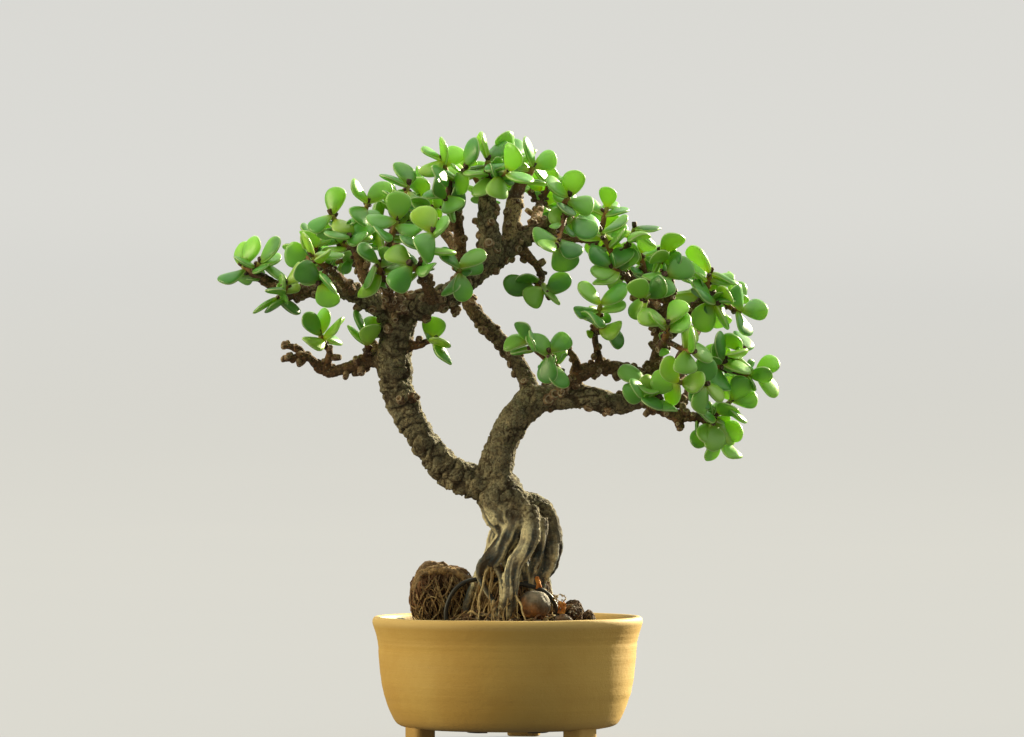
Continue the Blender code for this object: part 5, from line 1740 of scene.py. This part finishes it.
class Finish(Shading):
    """A new material, its Principled shader, and the place it is read at."""

    def __init__(self, name, roughness=0.6, specular=0.5):
        self.material = bpy.data.materials.new(name)
        self.material.use_nodes = True
        super().__init__(self.material.node_tree)
        self.shader = self.tree.nodes["Principled BSDF"]
        self.feed("Roughness", roughness)
        self.feed("Specular IOR Level", specular)
        self.place = self.node("TexCoord").outputs["Object"]

    def feed(self, name, value):
        self.put(value, self.shader.inputs[name])

    def mottled(self, scale, strength, first, second):
        """A colour with soft patches of another."""
        return self.use("Mottle", Scale=scale, Strength=strength, First=first, Second=second)["Color"]

    def specked(self, body, scale, size, share, tone):
        """A colour with specks of another, to a share of their full strength."""
        specks = self.use("Specks", Scale=scale, Size=size)["Mask"]
        return self.mix(self.times(specks, share), body, tone)

    def rough(self, coarse, fine, fineness):
        return self.use("Roughened", Coarse=coarse, Fine=fine, Fineness=fineness)["Height"]

    def relief(self, height, strength, distance):
        bump = self.node("Bump", {"Height": height, "Strength": strength, "Distance": distance})
        self.feed("Normal", bump.outputs["Normal"])

    def glow(self, share, tone):
        """Lets light through, as a thin leaf does."""
        through = self.node("BsdfTranslucent", {"Color": tone})
        both = self.node("MixShader", {0: share, 1: self.shader.outputs[0], 2: through.outputs[0]})
        self.put(both.outputs[0], self.tree.nodes["Material Output"].inputs["Surface"])

    def done(self, body, height, strength, distance):
        """Gives the finish its colour and its relief; returns the material."""
        self.feed("Base Color", body)
        self.relief(height, strength, distance)
        return self.material


def leaf_finish():
    """Waxy green, each leaf of its own tone, yellower at the foot, with a thin pale rim."""
    made = Finish("plump leaf", 0.4, 0.75)
    made.feed("Coat Weight", 0.55)
    made.feed("Coat Roughness", 0.32)
    along, rim, tint = (made.attribute(name) for name in Layers._fields)
    body = made.stepped(tint, (0.0, (0.006, 0.130, 0.034)), (0.35, (0.044, 0.320, 0.056)),
                        (0.62, (0.160, 0.500, 0.072)), (0.86, (0.330, 0.660, 0.095)),
                        (1.0, (0.520, 0.760, 0.075)))
    body = made.mix(made.span(made.cloud(140.0, 2.0), 0.3, 0.7, 0.0, 0.40), body, (0.18, 0.52, 0.10))
    foot = made.times(made.span(along, 0.0, 0.42, 1.0, 0.0), made.span(tint, 0.0, 1.0, 0.45, 1.0))
    body = made.mix(foot, body, (0.40, 0.52, 0.03))
    body = made.specked(body, 1500.0, 0.16, 0.2, (0.22, 0.50, 0.16))
    body = made.mix(made.span(rim, 0.88, 0.99), body, (0.72, 0.86, 0.46))
    made.feed("Roughness", made.span(made.cloud(500.0), 0.3, 0.7, 0.34, 0.48))
    made.glow(0.38, made.mix(foot, (0.50, 0.78, 0.07), (0.88, 0.86, 0.05)))
    return made.done(body, made.rough(260.0, 2200.0, 0.10), 0.3, 0.0005)


def stem_finish():
    """Young stems: brown and ringed at the foot, orange and then yellow-green at the tip."""
    made = Finish("young stem", 0.6)
    age = made.plus(made.plus(made.attribute("along"), made.times(made.cloud(500.0), 0.35)), -0.18)
    body = made.stepped(age, (0.25, (0.060, 0.026, 0.013)), (0.55, (0.16, 0.062, 0.020)),
                        (0.78, (0.30, 0.14, 0.03)), (0.98, (0.26, 0.30, 0.04)))
    body = made.specked(body, 900.0, 0.2, 0.4, (0.34, 0.26, 0.17))
    ring = made.span(made.attribute("rim"), 0.5, 0.95, 0.0, 0.75)
    body = made.mix(ring, body, (0.42, 0.36, 0.27))
    return made.done(body, made.rough(700.0, 2400.0, 0.5), 0.7, 0.0008)


def bark_finish():
    """Grey-brown cracked bark, redder on the twigs, with pale blue-grey and cream roots below.

    On the roots the cream is painted light on the ridges and the blue-grey is painted shade in the
    hollows; the cracks and creases are darkened partly as the wood's own dark and partly as painted
    shade.
    """
    made = Finish("cracked bark", 0.88, 0.3)
    crack, girth, rooty, pale, streak = (made.attribute(name) for name in
                                         ("crack", "girth", "rooty", "pale", "streak"))
    wood = made.mottled(170.0, 1.0, (0.125, 0.102, 0.058), (0.325, 0.266, 0.155))
    wood = made.mottled(420.0, 0.5, wood, (0.27, 0.265, 0.18))
    wood = made.mix(made.span(girth, 1.6, 4.6, 0.8, 0.0), wood, (0.190, 0.078, 0.028))
    wood = made.mix(pale, wood, (0.44, 0.32, 0.17))
    # The roots' grey-to-cream tones as painted light and shade: dark blue-grey in hollows and on shaded
    # roots, cream on lit ridges
    root = made.stepped(streak, (0.05, (0.036, 0.055, 0.068)), (0.36, (0.125, 0.142, 0.140)),
                        (0.60, (0.430, 0.390, 0.280)), (0.88, (0.840, 0.760, 0.500)))
    root = made.mottled(230.0, 0.35, root, (0.36, 0.27, 0.16))
    body = made.mix(rooty, wood, root)
    stipple = made.span(made.cloud(950.0, 3.0, 0.7), 0.46, 0.62)
    grime = made.times(stipple, made.span(rooty, 0.0, 1.0, 0.8, 0.35))
    body = made.mix(grime, body, (0.060, 0.046, 0.030))
    body = made.specked(body, 620.0, 0.16, 0.45, (0.46, 0.40, 0.28))
    # Darker in the cracks, grooves and creases: partly the wood's own dark, partly painted shade
    body = made.mix(made.span(crack, 0.15, 0.9, 0.0, 0.85), body, (0.040, 0.024, 0.013))
    return made.done(body, made.rough(900.0, 2600.0, 0.55), 0.9, 0.0011)


def scar_finish():
    """Leaf scars: dark knobs with a pale ring round the sunken end."""
    made = Finish("leaf scar", 0.85, 0.3)
    body = made.mottled(600.0, 1.0, (0.105, 0.056, 0.030), (0.340, 0.240, 0.150))
    ring = made.span(made.attribute("rim"), 0.55, 0.95, 0.0, 0.8)
    broken = made.span(made.cloud(700.0), 0.35, 0.6, 0.2, 1.0)
    body = made.mix(made.times(ring, broken), body, (0.56, 0.49, 0.38))
    return made.done(body, made.rough(1100.0, 2600.0, 0.4), 0.8, 0.0008)


def clay_finish():
    """Unglazed buff clay: throwing lines, a little sand and soft firing blushes.

    A paler band round the lip is a painted highlight, and the darker foot of the wall is painted shade.
    """
    made = Finish("buff clay", 0.66, 0.35)
    body = made.mottled(22.0, 0.8, (0.500, 0.300, 0.072), (0.570, 0.375, 0.105))
    height = made.height()
    # Painted highlight: a paler band round the bulge of the lip
    body = made.mix(made.times(made.span(height, 0.0455, 0.0475), 0.45), body, (0.62, 0.45, 0.20))
    # Painted shade: darker towards the bottom, over the feet and the lowest part of the wall
    body = made.mix(made.span(height, 0.004, 0.013, 0.4, 0.0), body, (0.36, 0.22, 0.09))
    body = made.specked(body, 420.0, 0.05, 0.35, (0.26, 0.15, 0.06))
    grain = made.rough(420.0, 2600.0, 0.4)

    # The throwing lines: a noise drawn out round the pot and packed close up its wall
    made.place = made.node("Mapping", {"Vector": made.place, "Scale": (14.0, 14.0, 420.0)}).outputs[0]
    lines = made.cloud(1.0, 4.0, 0.6)
    made.feed("Roughness", made.span(lines, 0.3, 0.7, 0.58, 0.76))
    return made.done(body, made.plus(lines, grain), 0.27, 0.0005)


def soil_finish():
    made = Finish("soil mix", 0.95, 0.2)
    body = made.mottled(900.0, 1.0, (0.030, 0.018, 0.011), (0.120, 0.070, 0.038))
    return made.done(body, made.rough(700.0, 2000.0, 0.6), 1.0, 0.0015)


def grains_finish():
    """Grains of fired clay, lava, charcoal and pale stone, each of its own tone."""
    made = Finish("soil grains", 0.9, 0.25)
    tone = made.stepped(made.attribute("tint"), (0.0, (0.025, 0.018, 0.014)),
                        (0.22, (0.055, 0.034, 0.022)), (0.45, (0.16, 0.085, 0.040)),
                        (0.68, (0.27, 0.155, 0.075)), (0.86, (0.20, 0.18, 0.15)),
                        (1.0, (0.48, 0.42, 0.33)))
    body = made.mottled(1300.0, 0.5, tone, (0.07, 0.045, 0.03))
    return made.done(body, made.rough(1200.0, 3000.0, 0.5), 0.8, 0.0007)


def fibre_finish():
    """Matted old roots, each strand of its own tone from umber through red-brown to straw."""
    made = Finish("matted root fibre", 0.9, 0.25)
    tone = made.stepped(made.attribute("tint"), (0.0, (0.040, 0.020, 0.011)),
                        (0.2, (0.210, 0.070, 0.026)), (0.42, (0.270, 0.190, 0.115)),
                        (0.7, (0.400, 0.255, 0.110)), (1.0, (0.680, 0.540, 0.290)))
    body = made.mottled(420.0, 0.55, tone, (0.10, 0.052, 0.026))
    return made.done(body, made.rough(1000.0, 2600.0, 0.6), 1.0, 0.0010)


def stone_finish(name, roughness, first, second, stain):
    """A stone of two mottled tones, with patches of a stain."""
    made = Finish(name, roughness, 0.4)
    body = made.mottled(500.0, 1.0, first, second)
    body = made.mottled(225.0, 0.7, body, stain)
    return made.done(body, made.rough(1500.0, 2600.0, 0.4), 0.6, 0.0007)


def pebble_finish():
    """A matt pebble: violet-grey above, stained orange-brown towards its lower left."""
    made = Finish("pebble", 0.74, 0.4)
    grey = made.mottled(210.0, 1.0, (0.085, 0.072, 0.058), (0.230, 0.190, 0.150))
    brown = made.mottled(260.0, 1.0, (0.080, 0.036, 0.016), (0.340, 0.150, 0.050))
    place = made.node("SeparateXYZ", {0: made.place}).outputs
    slant = made.plus(place["Z"], made.times(place["X"], 0.45))
    high = made.span(made.plus(slant, made.times(made.cloud(170.0), 0.008)), 0.0620, 0.0675)
    return made.done(made.mix(high, brown, grey), made.rough(600.0, 2600.0, 0.4), 0.6, 0.0006)


def coating_finish():
    """Black plastic wire coating, a little scuffed."""
    made = Finish("wire coating", 0.42)
    scuffs = made.cloud(900.0, 4.0, 0.7)
    body = made.mix(made.span(scuffs, 0.55, 0.75, 0.0, 0.6), (0.012, 0.012, 0.013),
                    (0.055, 0.052, 0.048))
    made.feed("Roughness", made.span(scuffs, 0.3, 0.7, 0.34, 0.6))
    return made.done(body, scuffs, 0.2, 0.0003)


def screen_finish():
    made = Finish("drain screen", 0.6)
    grain = made.cloud(1400.0)
    body = made.mix(grain, (0.018, 0.018, 0.020), (0.040, 0.038, 0.036))
    return made.done(body, grain, 0.3, 0.0003)


def floor_finish():
    """A plain pale studio sweep, a little lit from within so that it stays even from end to end."""
    made = Finish("pale sweep", 0.9, 0.0)
    made.feed("Base Color", made.mix(made.cloud(2.0), (0.060, 0.060, 0.058), (0.065, 0.065, 0.062)))
    made.feed("Emission Color", (0.97, 0.965, 0.93))
    lit = made.span(made.height(), 0.0, 0.4, 0.56, 0.675)
    shown = made.node("LightPath").outputs["Is Camera Ray"]
    made.feed("Emission Strength", made.mix(shown, (0.10, 0.10, 0.10), lit))
    return made.material


def all_finishes():
    mottle_group()
    roughened_group()
    specks_group()
    return {
        "leaf": leaf_finish(), "stem": stem_finish(), "bark": bark_finish(), "scar": scar_finish(),
        "clay": clay_finish(), "soil": soil_finish(), "grains": grains_finish(),
        "fibre": fibre_finish(), "pebble": pebble_finish(), "coating": coating_finish(),
        "screen": screen_finish(), "floor": floor_finish(),
        "lava": stone_finish("lava", 0.95, (0.035, 0.024, 0.020), (0.105, 0.070, 0.050),
                             (0.16, 0.09, 0.05)),
        "grit": stone_finish("grit", 0.8, (0.42, 0.38, 0.31), (0.60, 0.55, 0.46), (0.28, 0.20, 0.12)),
        "chip": stone_finish("bark chip", 0.85, (0.075, 0.062, 0.055), (0.19, 0.165, 0.14),
                             (0.16, 0.085, 0.045)),
        "flake": stone_finish("orange flake", 0.8, (0.56, 0.17, 0.030), (0.78, 0.36, 0.08),
                              (0.30, 0.09, 0.03)),
    }


def build_stage():
    """A plain pale floor that sweeps up into a round wall, far behind every camera."""
    bm = turned([(radius, 0, height) for radius, height in SWEEP], SWEEP_SEGMENTS, closed=False)
    middle = min(bm.faces, key=lambda face: face.calc_center_median().length)
    if middle.normal.z < 0:
        bmesh.ops.reverse_faces(bm, faces=bm.faces[:])
    floor = object_of("pale_sweep", bm)
    floor.data.materials.append(FINISH["floor"])
    floor.data.shade_smooth()
    floor.visible_shadow = False
    floor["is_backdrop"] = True


def sun(name, origin, power, spread, tone):
    """An even light from a direction, as soft as its spread in degrees."""
    data = bpy.data.lights.new(name, "SUN")
    data.energy = power
    data.angle = math.radians(spread)
    data.color = tone
    lamp = linked(name, data)
    lamp.location = origin
    lamp.rotation_euler = (-Vector(origin)).to_track_quat("-Z", "Y").to_euler()


def light_plant():
    """Warm light from behind on the right, a soft fill from the left, and a pale room."""
    for light in LIGHTS:
        sun(*light)
    world = bpy.data.worlds.new("pale room")
    world.use_nodes = True
    room = Shading(world.node_tree)
    way = room.node("VectorMath", {0: room.node("TexCoord").outputs["Generated"], 1: SKY_TOP},
                    operation="DOT_PRODUCT")
    overhead = room.span(way.outputs["Value"], 0.0, 0.95)
    tone = room.mix(overhead, (0.105, 0.105, 0.065), (1.56, 1.56, 1.26))
    room.put(tone, world.node_tree.nodes["Background"].inputs["Color"])
    bpy.context.scene.world = world
    bpy.context.scene.view_settings.view_transform = "Standard"


def place_camera():
    """Level, at the photograph's height, far enough back for its flat view."""
    middle = seen(CAMERA_COLUMN, CAMERA_ROW)
    data = bpy.data.cameras.new("camera")
    data.sensor_width = SENSOR
    data.lens = SENSOR * CAMERA_DISTANCE / (IMAGE_WIDTH * MM_PER_PIXEL * 0.001)
    data.clip_end = 30.0
    camera = linked("camera", data)
    camera.location = (AXIS.x + middle.x * 0.001, AXIS.y - CAMERA_DISTANCE, middle.z * 0.001)
    camera.rotation_euler = (math.radians(90), 0, 0)
    bpy.context.scene.camera = camera


place_camera()
FINISH = all_finishes()
build_stage()
light_plant()
branches, seats, stems, leaves = lay_plant()
wood, strands = build_trunk(branches)
build_knobs(strands, surface_of(wood))
fine_draw = random.Random(SEED + 2)
for spray in EVERY_SPRAY:
    build_spray(spray, seats[spray.name], stems[spray.name], leaves[spray.name], fine_draw)
build_pot()
build_wire()
build_stones()
build_root_mass()
build_flakes()
soil_top = surface_of(frame["nodes"]["soil"], build_packed_soil())
build_grains(soil_top)
build_rootlets(soil_top)
for node_name, finish in (("soil", "soil"), ("drain_screen", "screen")):
    frame["nodes"][node_name].data.materials.clear()
    frame["nodes"][node_name].data.materials.append(FINISH[finish])

boxes = {"cad": CAD_BOX, "visual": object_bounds()}
{name: [list(corner) for corner in box] for name, box in boxes.items()}
